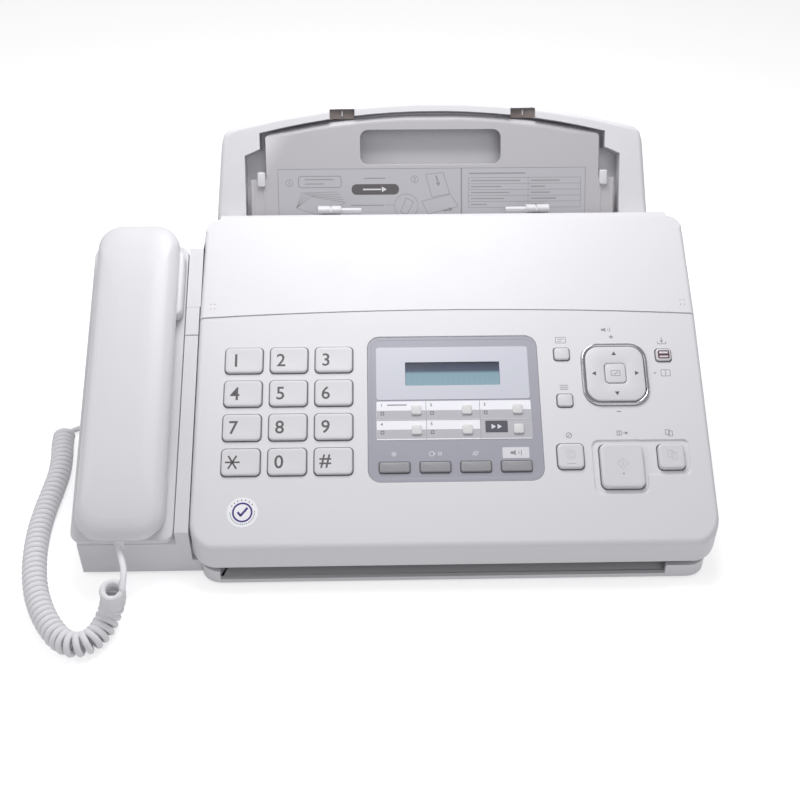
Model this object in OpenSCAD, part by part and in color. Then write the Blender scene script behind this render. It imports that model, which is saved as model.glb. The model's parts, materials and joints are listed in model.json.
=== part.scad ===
// Plain-paper fax machine: handset on a side cradle, sloping control panel, tray for paper behind the document feed.
// Axes: X to the right, Y to the back, Z up. The origin is on the table, under the middle of the machine.
// Inside the modules Y is counted from the front face of the body and X from the covers, and seat() moves a piece to its place.

/* [Body] */
// Width over the cradle and the body
total_w = 355; // [335:1:400]
// Width of the front cover and the back cover
cover_w = 290; // [280:1:310]
// Depth from the front face to the rear wall
body_d = 252; // [246:1:275]
// Height of the fold between the front band and the control panel
front_h = 29.5; // [28:0.5:34]
// Slope of the control panel
panel_slope = 30; // [28:0.5:31]
// Slope of the top panel behind the seam
top_slope = 26.5; // [25:0.5:28]
// Distance from the front face to the middle of the seam
seam_y = 122; // [118:1:126]
// How far the seam falls forward at its ends
seam_arch = 3.6; // [2:0.2:5]
// Distance from the front face to the ridge
ridge_y = 179.5; // [176:0.5:182]
// Wall of the moulded covers
wall = 2.4; // [2:0.1:2.8]
// Radius of the covers' corners seen from above
corner_r = 14; // [10:1:18]
// Gap between the covers and their neighbours
gap = 0.6; // [0.5:0.1:0.9]
// Height of the base cabinet's underside over the table
foot_h = 2; // [1.5:0.5:3]
// Top of the front band's lower edge, over the paper exit
exit_top = 14.7; // [13:0.1:16]
// Top of the base's front lip, under the paper exit
exit_low = 4.6; // [4:0.1:5.5]
// How far the base stands back from the covers' sides
base_inset = 4; // [3:0.5:6]
// Slope of the parting line along the right side
part_slope = 24; // [22:1:26]
// Angle that the front cover opens by
front_open = 45; // [30:1:50]
// Angle that the back cover opens by
back_open = 28; // [20:1:32]

/* [Keys] */
// Width of a number key
key_w = 21.6; // [19:0.1:22.5]
// Depth of a number key
key_d = 15.8; // [14:0.1:16.6]
// Spacing of the number keys from left to right
key_px = 25.7; // [24:0.1:27]
// Spacing of the number keys from front to back
key_py = 20.35; // [19:0.05:21]
// Height of a key over the panel
key_h = 1.7; // [1.4:0.1:2.4]
// Travel of a key
key_travel = 1.2; // [0.8:0.1:1.3]
// Gap round a key in its opening
key_gap = 0.3; // [0.2:0.05:0.4]
// Corner radius of a number key
key_r = 2.4; // [1.5:0.1:4]
// Side of a one-touch key
touch_w = 6.2; // [5:0.1:7]
// Width of a function key
func_w = 17.2; // [14:0.1:18.5]
// Depth of a function key
func_d = 6.4; // [5:0.1:8]
// Diameter of the navigation ring
nav_d = 38; // [34:0.5:42]
// Side of the set key
set_w = 11.6; // [9:0.1:13]
// Side of the start key
start_w = 24.4; // [22:0.1:26]
// Side of the stop key and the copy key
stop_w = 15; // [13:0.1:17]

/* [Display] */
// Width of the grey display bezel
bezel_w = 97.8; // [94:0.2:100]
// Depth of the grey display bezel
bezel_d = 87.5; // [84:0.5:90]
// Corner radius of the display bezel
bezel_r = 7; // [3:0.5:9]
// Thickness of the display bezel
bezel_t = 1.6; // [1.2:0.1:2]
// Width of the LCD glass
lcd_w = 54; // [46:0.5:60]
// Depth of the LCD glass
lcd_d = 14.2; // [12:0.2:18]

/* [Paper path] */
// Tilt of the tension plate and the paper tray
tray_tilt = 59.4; // [58:0.2:61]
// Width of the paper tray at its foot
tray_w = 272; // [262:1:276]
// Height of the tray's arch along its slope, over the plate's datum
tray_h = 73; // [66:1:80]
// Depth of the tray from its front rim to its back wall
tray_deep = 12; // [10:0.5:14]
// Width of the tension plate between its ears
plate_w = 226; // [220:1:230]
// Thickness of the tension plate
plate_t = 2.2; // [1.8:0.1:2.6]
// Angle that the tension plate pulls forward by
plate_open = 6; // [4:1:6]
// Smallest width between the document guides
guide_min = 128; // [120:1:140]
// Travel of each document guide
guide_travel = 40; // [30:1:42]

/* [Handset] */
// Width of the handset
set_wide = 47; // [44:0.5:49]
// Length of the handset along the cradle
set_len = 189; // [184:1:192]
// Thickness of the handset at its middle
set_thick = 23; // [20:0.5:26]
// Width of the cradle
cradle_w = 56; // [54:0.5:57]
// Distance that the handset lifts off by
lift = 60; // [40:1:90]
// Diameter of the curly cord's coil
coil_d = 13; // [11:0.5:15]
// Diameter of the cord's straight leads
lead_d = 4; // [3:0.5:4.5]

/* [Mechanism] */
// Diameter of the platen roller
platen_d = 16; // [14:1:18]
// Diameter of a roller shaft
shaft_d = 6; // [5:0.5:6]
// Width of the printing film and the rollers
film_w = 218; // [210:1:222]
// Play of a shaft in its bearing
run_fit = 0.06; // [0.04:0.01:0.08]
// Gear module
gear_m = 1; // [0.8:0.1:1]

/* [Hidden] */
$fn = 48;

white = [0.93, 0.93, 0.94];
grey = [0.66, 0.66, 0.71];
pale_grey = [0.83, 0.83, 0.87];
dark = [0.16, 0.16, 0.18];
steel = [0.72, 0.73, 0.75];

body_x = 32.5;                        // middle of the covers, in the modules' own X
right_x = body_x + cover_w / 2;
left_x = body_x - cover_w / 2;
cradle_x = right_x - total_w;
strip_x = cradle_x + cradle_w + 0.8;
paper_x = body_x - 6;                 // middle of the paper path
base_l = left_x + base_inset;
base_r = right_x - base_inset;
seam_top = front_h + seam_y * tan(panel_slope);
ridge_z = seam_top + (ridge_y - seam_y) * tan(top_slope);
part_max = 74;                        // top of the base's side walls
hinge_at = [-67, 113];                // left ends of the back cover's hinge notches
hinge_pin_d = 4;
lug_d = 7;
front_pin = [6, 18];                  // front cover's hinge axis
back_pin = [body_d - 3.5, 76];        // back cover's hinge axis
pin_d = 3.2;
plate_pin = [181.6, 97.6];            // tension plate's pivot
datum = [193, 117.9];                 // a point on the tension plate's front face
platen_at = [98, 26];
pickup_at = [177, 79];
supply_at = [140, 46];
takeup_at = [62, 27];
frame_l = paper_x - film_w / 2 - 2;   // inner faces of the two side frames
frame_r = paper_x + film_w / 2 + 2;
frame_t = 3;

function part_z(y) = min(exit_top + y * tan(part_slope), part_max);
function panel_z(y) = front_h + y * tan(panel_slope);
function arc(c, r, a, b, n = 8) = [for (i = [0:n]) c + r * [cos(a + (b - a) * i / n), sin(a + (b - a) * i / n)]];
// Point on the tension plate's front face, at a distance along its slope and off it
function plate_at(l, off) = datum + l * [cos(tray_tilt), sin(tray_tilt)] + off * [-sin(tray_tilt), cos(tray_tilt)];

module seat() { translate([total_w / 2 - right_x, -body_d / 2, 0]) children(); }
// A (y, z) outline drawn out along X from a to b
module along_x(a, b) { translate([a, 0, 0]) rotate([90, 0, 90]) linear_extrude(b - a) children(); }
// The control panel's own frame: X, up the slope from the front face, and out of the panel
module on_panel() { translate([0, 0, front_h]) rotate([panel_slope, 0, 0]) children(); }
// The cradle's top surface, sunk below the control panel's plane
cradle_drop = 4.6;
module on_cradle() { translate([0, 0, front_h - cradle_drop]) rotate([panel_slope, 0, 0]) children(); }
// The tension plate's front face: X, up its slope, and out of its front
module on_plate() { translate([0, datum[0], datum[1]]) rotate([tray_tilt, 0, 0]) children(); }
module round_rect(w, d, r) {
    union() {
        square([w - 2 * r, d], center = true);
        square([w, d - 2 * r], center = true);
        for (x = [-1, 1], y = [-1, 1]) translate([x * (w / 2 - r), y * (d / 2 - r)]) circle(r);
    }
}
// Plan outline with rounded front and rear corners
module plan(x0, x1, y0, y1, r, h = 220) {
    translate([(x0 + x1) / 2, (y0 + y1) / 2, -10]) linear_extrude(h) round_rect(x1 - x0, y1 - y0, r);
}
module rod_x(p, d, a, b) { translate([a, p[0], p[1]]) rotate([0, 90, 0]) cylinder(d = d, h = b - a); }
module seam_disc(r) { translate([(left_x + right_x) / 2, seam_y - seam_r, -10]) cylinder(r = r, h = 220, $fn = 180); }
seam_r = (pow(cover_w / 2, 2) + pow(seam_arch, 2)) / (2 * seam_arch);

/* Keys ------------------------------------------------------------------------------------------------ */
col_x = -85.5;                        // first column of number keys
row_y = 48.5;                         // front row of number keys, up the slope
bezel_x = 34.1;
bezel_y = 79.95;
touch_at = [[12.6, 78.4], [41.2, 78.4], [70, 78.4], [12.6, 66.5], [41.2, 66.5], [70, 66.5]];
func_x = [-0.2, 22.5, 45.1, 67.7];
func_y = 44.6;
small_at = [[97.2, 111.6, 9, 7.8], [97.2, 83, 9, 7.8], [156, 110.3, 9, 7.8]];
nav_at = [127, 98.7];
stop_at = [98, 49.6];
start_at = [126.4, 43.6];
copy_at = [154.4, 48.8];
flange_t = 1;
key_low = -wall - 0.4 - key_travel;   // underside of a key's flange, pressed clear of the board

module key_at(p) { on_panel() translate([p[0], p[1], 0]) children(); }
// Key cap standing h over the panel: straight skirt, drawn-in top, retaining flange below the wall
module cap(w, d, r, h, deep = wall, draft = 0.93) {
    translate([0, 0, -deep - 0.4]) linear_extrude(deep + 0.4 + h * 0.6) round_rect(w, d, r);
    translate([0, 0, h * 0.6]) linear_extrude(h * 0.4, scale = draft) round_rect(w, d, r, $fn = 16);
    translate([0, 0, -deep - 0.4 - flange_t]) linear_extrude(flange_t) round_rect(w + 1.6, d + 1.6, r);
}
module hole(w, d, r, deep = 8) {
    translate([0, 0, -deep]) linear_extrude(deep + 6) round_rect(w + 2 * key_gap, d + 2 * key_gap, r + key_gap);
}
function number_at(i) = [col_x + (i % 3) * key_px, row_y + (3 - floor(i / 3)) * key_py];
module number_key(i) { color(white) seat() key_at(number_at(i)) cap(key_w, key_d, key_r, key_h); }
module touch_key(i) { color(white) seat() key_at(touch_at[i]) cap(touch_w, touch_w, 1, 0.8); }
module func_key(i) { color(grey) seat() key_at([func_x[i], func_y]) cap(func_w, func_d, 1, 0.8); }
module small_key(i) {
    color(white) seat() key_at(small_at[i]) cap(small_at[i][2], small_at[i][3], 1.6, key_h);
}
module nav_key() {
    color(white) seat() key_at(nav_at) difference() {
        cap(nav_d - 4.4, nav_d - 4.4, 8, key_h + 0.4, wall, 0.96);
        hole(set_w, set_w, 2);
    }
}
module set_key() { color(white) seat() key_at(nav_at) translate([0, 0, 0.4]) cap(set_w, set_w, 2, key_h + 0.2, wall + 3.2); }
module stop_key() { color(white) seat() key_at(stop_at) cap(stop_w, stop_w, 2.6, key_h + 0.5); }
module copy_key() { color(white) seat() key_at(copy_at) cap(stop_w, stop_w, 2.6, key_h + 0.5); }
module start_key() { color(white) seat() key_at(start_at) cap(start_w, start_w + 1.6, 3.4, key_h + 0.8); }

/* Covers ---------------------------------------------------------------------------------------------- */
fold_r = 5;
boss_d = 6;
// Side view of the front cover, shrunk by t on its outside
module front_profile(t) {
    a = panel_slope;
    c = [fold_r, front_h + fold_r * tan(a) - fold_r / cos(a)];
    polygon(concat([[t, exit_top - (t > 0 ? 20 : 0)]], arc(c, fold_r - t, 180, 90 + a),
        [[seam_y + 9, panel_z(seam_y + 9) - t / cos(a)], [seam_y + 9, part_z(seam_y + 9) - (t > 0 ? 80 : 0)],
        [(t > 0 ? seam_y : 6), (t > 0 ? -20 : part_z(6))]]));
}
recess_d = 1;
module key_openings() {
    for (i = [0:11]) key_at(number_at(i)) hole(key_w, key_d, key_r);
    for (p = touch_at) key_at(p) hole(touch_w, touch_w, 1);
    for (x = func_x) key_at([x, func_y]) hole(func_w, func_d, 1);
    for (p = small_at) key_at(p) hole(p[2], p[3], 1.6);
    for (p = [stop_at, copy_at]) key_at(p) hole(stop_w, stop_w, 2.6);
    key_at(start_at) hole(start_w, start_w + 1.6, 3.4);
    key_at(nav_at) hole(nav_d - 4.4, nav_d - 4.4, 8);
}
module front_cover() {
    color(white) seat() {
        difference() {
            intersection() {
                along_x(left_x, right_x) front_profile(0);
                plan(left_x, right_x, 0, 400, corner_r);
                seam_disc(seam_r - gap / 2);
            }
            intersection() {
                along_x(left_x + wall, right_x - wall) front_profile(wall);
                plan(left_x + wall, right_x - wall, wall, 400, corner_r - wall);
            }
            key_openings();
            // seat of the display bezel and its window
            on_panel() translate([bezel_x, bezel_y, -bezel_t]) linear_extrude(4)
                round_rect(bezel_w + 0.3, bezel_d + 0.3, bezel_r + 0.15);
            on_panel() translate([bezel_x - 0.3, 100.6, -8]) linear_extrude(8) square([lcd_w + 8, 24], center = true);
            // groove of the navigation ring
            key_at(nav_at) translate([0, 0, -0.8]) linear_extrude(4) round_rect(nav_d + 0.3, nav_d + 0.3, 10);
            // shallow step round the start and copy keys
            on_panel() translate([0, 0, -recess_d]) linear_extrude(4) {
                translate([138.4, 48.8]) round_rect(53, 20.4, 3);
                translate([start_at[0] - 1, start_at[1] - 0.2]) round_rect(30, 31.5, 4);
            }
        }
        // hinge pins, standing inward from bosses in the front corners
        for (x = [left_x + 8, right_x - 15.5]) rod_x(front_pin, pin_d, x, x + 7.5);
        intersection() {
            for (x = [left_x + 2, right_x - 10]) rod_x(front_pin, boss_d, x, x + 8);
            plan(left_x + 1, right_x - 1, 1, 60, corner_r - 1);
        }
    }
}
bezel_rim = 2;
module display_bezel() {
    color(grey) seat() on_panel() difference() {
        translate([bezel_x, bezel_y, -bezel_t]) linear_extrude(bezel_t) round_rect(bezel_w, bezel_d, bezel_r);
        translate([bezel_x, bezel_y, -0.6]) linear_extrude(2)
            round_rect(bezel_w - 2 * bezel_rim, bezel_d - 2 * bezel_rim, bezel_r - bezel_rim);
        translate([bezel_x - 0.3, 100.6, -4]) linear_extrude(6) round_rect(lcd_w + 0.4, lcd_d + 0.4, 0.6);
        for (p = touch_at) translate([p[0], p[1]]) hole(touch_w, touch_w, 1);
        for (x = func_x) translate([x, func_y]) hole(func_w, func_d, 1);
    }
}
module lcd_module() {
    color([0.16, 0.30, 0.34]) seat() on_panel() translate([bezel_x - 0.3, 100.6, 0]) {
        translate([0, 0, -1.2]) linear_extrude(0.4) round_rect(lcd_w, lcd_d, 0.5);
        translate([0, 0, -bezel_t - 1.4]) linear_extrude(bezel_t + 0.2) square([lcd_w, lcd_d], center = true);
        translate([0, 0, -bezel_t - 3]) linear_extrude(3) square([lcd_w + 6, 22], center = true);
    }
}
module nav_ring() {
    color([0.8, 0.81, 0.84]) seat() key_at(nav_at) difference() {
        translate([0, 0, -0.8]) linear_extrude(2.4) round_rect(nav_d, nav_d, 10);
        translate([0, 0, -2]) linear_extrude(8) round_rect(nav_d - 4.4 + 2 * key_gap, nav_d - 4.4 + 2 * key_gap, 8 + key_gap);
    }
}
board_t = 1.6;
board_z = key_low - flange_t - 6.5;
switch_h = key_low - flange_t - 0.3 - board_z - board_t;
module operation_board() {
    color([0.2, 0.42, 0.3]) seat() on_panel() {
        translate([left_x + 12, 34, board_z]) cube([cover_w - 24, 90, board_t]);
        // posts that the board hangs on
        for (x = [left_x + 14, -17, 86, right_x - 14], y = [36.5, 121])
            translate([x, y, board_z + board_t]) cylinder(d = 4, h = -wall - board_z - board_t);
        // push switches under the keys, just clear of the pressed flanges
        for (p = concat([for (i = [0:11]) number_at(i)], touch_at, [for (x = func_x) [x, func_y]], small_at,
            [stop_at, start_at, copy_at])) translate([p[0], p[1], board_z + board_t - 0.1]) {
            translate([-3, -3, 0]) cube([6, 6, switch_h - 1.2]);
            cylinder(d = 3.4, h = switch_h + 0.1, $fn = 12);
        }
        // controller chip and cable connector under the board
        translate([-60, 70, board_z - 1.8]) cube([16, 16, 1.9]);
        translate([50, 108, board_z - 5]) cube([30, 6, 5.1]);
    }
}

// Side view of the back cover, shrunk by t on its outside
deck_z = 104;
split_y = 111;                        // where the strip beside the covers passes from the base to the back cover
strip_drop = 2.5;
module back_profile(t) {
    s = top_slope;
    rr = 7;
    polygon(concat([[seam_y - 12, 20 + (t > 0 ? -40 : 0)], [seam_y - 12, seam_top - 12 * tan(s) - t / cos(s)]],
        arc([ridge_y + 2, ridge_z + 2 * tan(s) - rr / cos(s)], rr - t, 90 + s, 20, 6),
        [[203, deck_z - t], [body_d - 9, 88 - t]], arc([body_d - 9, 79], 9 - t, 80, 0, 5),
        [[body_d - t, 74.5 - (t > 0 ? 60 : 0)], [seam_y + 9, 74 - (t > 0 ? 60 : 0)]]));
}
module front_keepout() { along_x(left_x - 1, right_x + 1) polygon([[seam_y - 20, -20],
    [seam_y - 20, part_z(seam_y - 20)], [134, part_max], [body_d + 9, 74.5], [body_d + 9, -20]]); }
throat_l = paper_x - plate_w / 2 - 3.5;
throat_r = paper_x + plate_w / 2 + 3.5;
chute_off = 7;                        // from the tension plate's face to the chute wall
slot_h = 3.2;                         // height of the slots that the document guides run in
module mirror_guides(s) { translate([paper_x, 0, 0]) mirror([s, 0, 0]) children(); }
module back_cover() {
    color(white) seat() {
        difference() {
            union() {
                difference() {
                    intersection() {
                        along_x(left_x, right_x) back_profile(0);
                        plan(left_x, right_x, 0, body_d, 10);
                    }
                    intersection() {
                        along_x(left_x + wall, right_x - wall) back_profile(wall);
                        plan(left_x + wall, right_x - wall, 0, body_d - wall, 8);
                    }
                    front_keepout();
                }
                // chute wall, cheeks and paper seat of the throat
                difference() {
                    along_x(throat_l - wall, throat_r + wall) polygon([plate_at(-24, chute_off + wall), plate_at(4, chute_off + wall),
                        [187, 122], [203, deck_z - 0.5], [222, 96], plate_at(-34, -tray_deep - 6), plate_at(-34, chute_off + wall)]);
                    along_x(throat_l, throat_r) polygon([plate_at(-60, chute_off), plate_at(30, chute_off),
                        plate_at(30, -tray_deep - 3.2), plate_at(-60, -tray_deep - 3.2)]);
                }
            }
            seam_disc(seam_r + gap / 2);
            // rounded corners of the ridge, standing in from the rear deck
            for (s = [0, 1]) translate([(left_x + right_x) / 2, 0, 0]) mirror([s, 0, 0]) difference() {
                translate([cover_w / 2 - 9, ridge_y - 10, deck_z]) cube([20, 50, 60]);
                translate([cover_w / 2 - 10, ridge_y - 10, deck_z - 1]) cylinder(r = 10, h = 62);
            }
            along_x(throat_l, throat_r) polygon([plate_at(-22, chute_off), plate_at(30, chute_off),
                plate_at(30, -tray_deep - 3.2), plate_at(-22, -tray_deep - 3.2)]);
            // slots that the document guides run in
            for (s = [0, 1]) on_plate() mirror_guides(s)
                translate([guide_min / 2 - 5, -slot_h / 2, chute_off - 1]) cube([guide_travel + 10, slot_h, wall + 2]);
            // notches for the base's hinge ears
            for (x = hinge_at) translate([x, body_d - 10, part_max - 2]) cube([9.6, 20, 8.2]);
            // bearings of the tension plate
            rod_x(plate_pin, 4 + 2 * run_fit, throat_l - wall - 1, throat_r + wall + 1);
        }
        // strip beside the top panel, over the base's own strip
        for (s = [[split_y + gap, left_x - gap], [seam_y + 5, left_x + 1]]) along_x(strip_x, s[1]) polygon([[s[0], part_max + 0.5],
            [s[0], panel_z(s[0]) - strip_drop], [161, panel_z(161) - strip_drop - 0.6], [166, 112], [166, part_max + 0.5]]);
        // hinge pins, standing in the notches from their lugs
        for (x = hinge_at) {
            rod_x(back_pin, hinge_pin_d, x - 0.5, x + 9);
            rod_x(back_pin, lug_d, x - 3, x);
        }
    }
}

// Half outline of the tray seen from its front, from its foot to the middle of its arch
function crown(r, top, x) = top - r + sqrt(r * r - x * x);
module mirrored(pts) { polygon(concat(pts, [for (i = [len(pts) - 1:-1:0]) [-pts[i][0], pts[i][1]]])); }
module tray_outline(w, h) {
    mirrored(concat([[w / 2 + 1.4, -16], [w / 2 - 5.8, 48], [w / 2 - 7.2, 53.5], [w / 2 - 11, h - 16]],
        [for (x = [w / 2 - 18:-14:4]) [x, crown(502, h, x)]]));
}
module pocket_outline() {
    mirrored(concat([[plate_w / 2 + 3.2, -40], [plate_w / 2 + 3.2, 41], [plate_w / 2 - 6.2, 45]],
        [for (x = [plate_w / 2 - 6.2:-14:4]) [x, crown(460, tray_h - 5.8, x)]]));
}
module plate_outline() {
    mirrored(concat([[plate_w / 2, -24], [plate_w / 2, 26.5], [plate_w / 2 - 9.7, 26.5], [plate_w / 2 - 9.7, 52]],
        [for (x = [plate_w / 2 - 12:-14:4]) [x, crown(460, tray_h - 7.3, x)]]));
}
tray_wall = 2.4;
module paper_tray() {
    color(white) seat() difference() {
        on_plate() translate([paper_x, 0, 0]) difference() {
            translate([0, 0, -tray_deep - tray_wall]) linear_extrude(tray_deep + tray_wall + 1.2) difference() {
                tray_outline(tray_w, tray_h);
                translate([-200, -60]) square([400, 40]);
            }
            translate([0, 0, -tray_deep]) linear_extrude(30) pocket_outline();
            for (x = [-55.7, 55.7]) translate([x - 7.7, tray_h - 10.2, -2]) cube([15.4, 5.9, 10]);
        }
        // outside the throat the tray stands on the cover
        for (s = [0, 1]) mirror_guides(s) along_x(throat_r - paper_x - 0.6, 200)
            polygon([[150, 60], [150, 118.6], [184, 129.6], [203.8, deck_z + 0.6], [252, 88], [252, 60]]);
        along_x(throat_l - 2, throat_r + 2) polygon([plate_at(-90, 40), plate_at(-20, 40), plate_at(-20, -40), plate_at(-90, -40)]);
    }
}
module tension_plate() {
    color(pale_grey) seat() difference() {
        union() {
            on_plate() translate([paper_x, 0, -plate_t]) linear_extrude(plate_t) plate_outline();
            // rolled top edge
            on_plate() translate([paper_x, 0, -8]) linear_extrude(8) difference() {
                plate_outline();
                translate([0, -plate_t - 0.4]) plate_outline();
                translate([-200, -60]) square([400, 108]);
            }
            rod_x(plate_pin, 5, paper_x - plate_w / 2, paper_x + plate_w / 2);
            rod_x(plate_pin, 4, throat_l - 1.8, throat_r + 1.8);
        }
        on_plate() translate([paper_x - 1.3, 45.6, -20]) linear_extrude(40) round_rect(87, 20.8, 5);
    }
}
module guide_body() {
    translate([guide_min / 2, 0, 0]) {
        on_plate() {
            translate([-4, -1.3, 4]) cube([8, 2.6, chute_off + wall - 3.6]);
            translate([-7, -8, chute_off + wall + 0.4]) cube([14, 9, 1.6]);
            translate([-0.9, -15, 4.2]) cube([1.8, 24, 2.6]);
        }
        difference() {
            along_x(-7, 7) polygon(concat(arc([187.6, 129.6], 1.8, 180, 70, 4), arc([190, 129.6], 1.4, 60, 0, 3),
                [[190.3, 122.4], [189.2, 121.8], [189, 125], [187.4, 127]]));
            translate([-1.3, 170, 129.6]) cube([1, 40, 5]);
        }
        along_x(-19.5, -6) polygon([[187.9, 127.4], [187.9, 129.4], [190.6, 129.4], [190.6, 127.4]]);
    }
}
module document_guide_left() { color(white) seat() mirror_guides(1) guide_body(); }
module document_guide_right() { color(white) seat() mirror_guides(0) guide_body(); }

/* Handset and cradle ---------------------------------------------------------------------------------- */
set_x = cradle_x + cradle_w / 2 + 1.2;    // middle of the handset
set_y = 6;                                // its front end, up the cradle's slope
set_mid = set_y + set_len / 2;
split_h = 10;                             // parting line of its two shells over the cradle
grip_h = 4.4;                             // underside of its grip over the cradle
ear_at = 160;                             // middle of the earpiece, up the slope
mouth_at = 30;
wells = [[ear_at, 46], [mouth_at, 36]];    // middle and length of the two wells that take its cups
cup_d = 40;
cup_deep = 5.5;                       // how far the cups reach into them
block_clear = 0.6;                    // from the cradle up to the ear and mouth blocks
well_deep = 9;
well_wall = 1.2;
module on_set() { on_cradle() translate([set_x, set_mid, 0]) children(); }
module slab(h, dw, dl, r) { translate([0, 0, h]) linear_extrude(0.1) round_rect(set_wide - dw, set_len - dl, r, $fn = 40); }
module handset_upper_shell() {
    color(white) seat() on_set() hull() {
        slab(split_h + 0.1, 0, 0, 14);
        slab(split_h + 5, 1, 5, 14);
        slab(split_h + 9.5, 6, 14, 13);
        slab(set_thick - 1.6, 13, 34, 12);
        slab(set_thick - 0.1, 26, 70, 8);
    }
}
// Side view of the finger room under the grip, along the slope and off the cradle
grip_arch = [[52, 0], [56, 5.6], [62, 7.4], [70, 8], [104, 8], [112, 7.4], [118, 5.6], [121.5, 0]];
module handset_lower_shell() {
    color(white) seat() {
        difference() {
            on_set() hull() {
                slab(split_h - 0.1, 0, 0, 14);
                slab(grip_h, 3, 8, 13);
            }
            on_cradle() along_x(set_x - 40, set_x + 40) polygon(grip_arch);
        }
        // ear and mouth blocks: full width over the cradle, and a cup down into each well
        on_cradle() for (c = wells) translate([set_x, c[0], 0]) difference() {
            union() {
                translate([0, 0, -cup_deep]) linear_extrude(grip_h + cup_deep + 0.5) round_rect(cup_d - 2, c[1] - 2, 12);
                translate([0, 0, block_clear]) linear_extrude(grip_h) round_rect(set_wide - 2, c[1] + 4, 12);
            }
            for (x = [-8:4:8]) translate([x - 0.8, -6, -cup_deep - 1]) cube([1.6, 12, 2.2]);
        }
    }
}
cradle_end = 189;
cradle_t = 6;
hook_at = 128;
module cradle() {
    color(white) seat() difference() {
        on_cradle() translate([cradle_x + cradle_w / 2, (8 + cradle_end) / 2 , 0]) difference() {
            translate([0, 0, -cradle_t]) linear_extrude(cradle_t) round_rect(cradle_w, cradle_end - 8, 6);
            translate([0, 0, -7]) linear_extrude(5) round_rect(cradle_w - 2 * wall, cradle_end - 8 - 2 * wall, 4);
        }
        on_cradle() translate([set_x, hook_at, -10]) linear_extrude(20) round_rect(6.6, 8.6, 1.3);
        on_cradle() for (c = wells) translate([set_x, c[0], -cradle_t - 1])
            linear_extrude(cradle_t + 5) round_rect(cup_d, c[1], 13);
    }
    color(white) seat() on_cradle() difference() {
        for (c = wells) translate([set_x, c[0], -well_deep - well_wall])
            linear_extrude(well_deep) round_rect(cup_d + 2 * well_wall, c[1] + 2 * well_wall, 13 + well_wall);
        for (c = wells) translate([set_x, c[0], -well_deep])
            linear_extrude(well_deep + 8) round_rect(cup_d, c[1], 13);
    }
}
module hook_lever() {
    color(white) seat() on_cradle() translate([set_x, hook_at, -8]) {
        linear_extrude(8 + grip_h - 0.2) round_rect(6, 8, 1);
        linear_extrude(1.5) round_rect(10, 12, 1);
    }
}

/* Curly cord: points chosen by hand along its route, counted from the front face ----------------------- */
lead_set_route = [[-149, 3.5, 34.3], [-149, 2.6, 31.4], [-148.6, 0.2, 27.6], [-147.6, -3, 22.6], [-146, -5.8, 17.6], [-145, -8, 13], [-145.5, -10.5, 9.5]];
coil_route = [[-153.5, -12, 12], [-152.5, -19, 8.6], [-153, -27, 7], [-155.6, -36, 6.6], [-161, -42.6, 6.6], [-168.4, -44.6, 6.6],
    [-176.2, -40.6, 6.6], [-183.4, -32.4, 6.6], [-190, -22, 6.6], [-195.6, -10, 6.6], [-200, 4, 6.6], [-203.2, 20, 6.6],
    [-205, 37, 6.6], [-205.2, 54, 6.6], [-204.4, 70, 6.6], [-204, 86, 6.6], [-205.4, 100, 6.6], [-207.6, 112, 6.6], [-208.6, 122, 6.6]];
lead_base_route = [[-208.6, 122.8, 4], [-207, 129, 3], [-201, 133, 3], [-193, 133.6, 4.5], [-185, 132, 8.5], [-180, 131, 11.8], [-175, 131, 12]];
function unit(v) = v / norm(v);
function tangent(p, i) = unit(p[min(i + 1, len(p) - 1)] - p[max(i - 1, 0)]);
function side_of(t) = unit(cross(t, [0.11, 0.05, 1]));
module sweep(p, d, n) {
    ring = [for (i = [0:len(p) - 1]) let (t = tangent(p, i), u = side_of(t), v = cross(u, t))
        for (k = [0:n - 1]) p[i] + d / 2 * (cos(360 * k / n) * u + sin(360 * k / n) * v)];
    m = len(p);
    polyhedron(ring, concat([[for (k = [0:n - 1]) k]], [[for (k = [n - 1:-1:0]) (m - 1) * n + k]],
        [for (i = [0:m - 2], k = [0:n - 1]) [i * n + k, (i + 1) * n + k, (i + 1) * n + (k + 1) % n, i * n + (k + 1) % n]]));
}
// Curve through the route's points, with steps between each pair
function bend(a, b, c, d, t) = 0.5 * (2 * b + t * (c - a) + t * t * (2 * a - 5 * b + 4 * c - d) + t * t * t * (3 * b - a - 3 * c + d));
function smooth(p, steps) = let (n = len(p) - 1) concat([for (i = [0:n - 1], s = [0:steps - 1])
    bend(p[max(i - 1, 0)], p[i], p[i + 1], p[min(i + 2, n)], s / steps)], [p[n]]);
module cord_coil() { color(white) seat() sweep(smooth(coil_route, 2), coil_d, 12); }
module cord_lead_handset() { color(white) seat() sweep(smooth(lead_set_route, 2), lead_d, 8); }
module cord_lead_base() { color(white) seat() sweep(smooth(lead_base_route, 2), lead_d, 8); }

/* Mechanism ------------------------------------------------------------------------------------------- */
// Spur gear with trapezoid teeth, lying along X
module gear(teeth, t) {
    r = teeth * gear_m / 2;
    rotate([90, 0, 90]) linear_extrude(t) polygon([for (i = [0:teeth - 1], k = [0:3])
        let (a = 360 / teeth * (i + [0.02, 0.2, 0.34, 0.52][k] - 0.27), q = r + gear_m * [-1.2, 0.9, 0.9, -1.2][k]) q * [cos(a), sin(a)]]);
}
gear_x = frame_r + frame_t + 1;
clip_d = 10;
// Shaft through both side frames, with a clip outside the left one
module shaft(p, b) {
    rod_x(p, shaft_d, frame_l - frame_t - 3.4, b);
    rod_x(p, clip_d, frame_l - frame_t - 2.2, frame_l - frame_t - 1);
}
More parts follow.
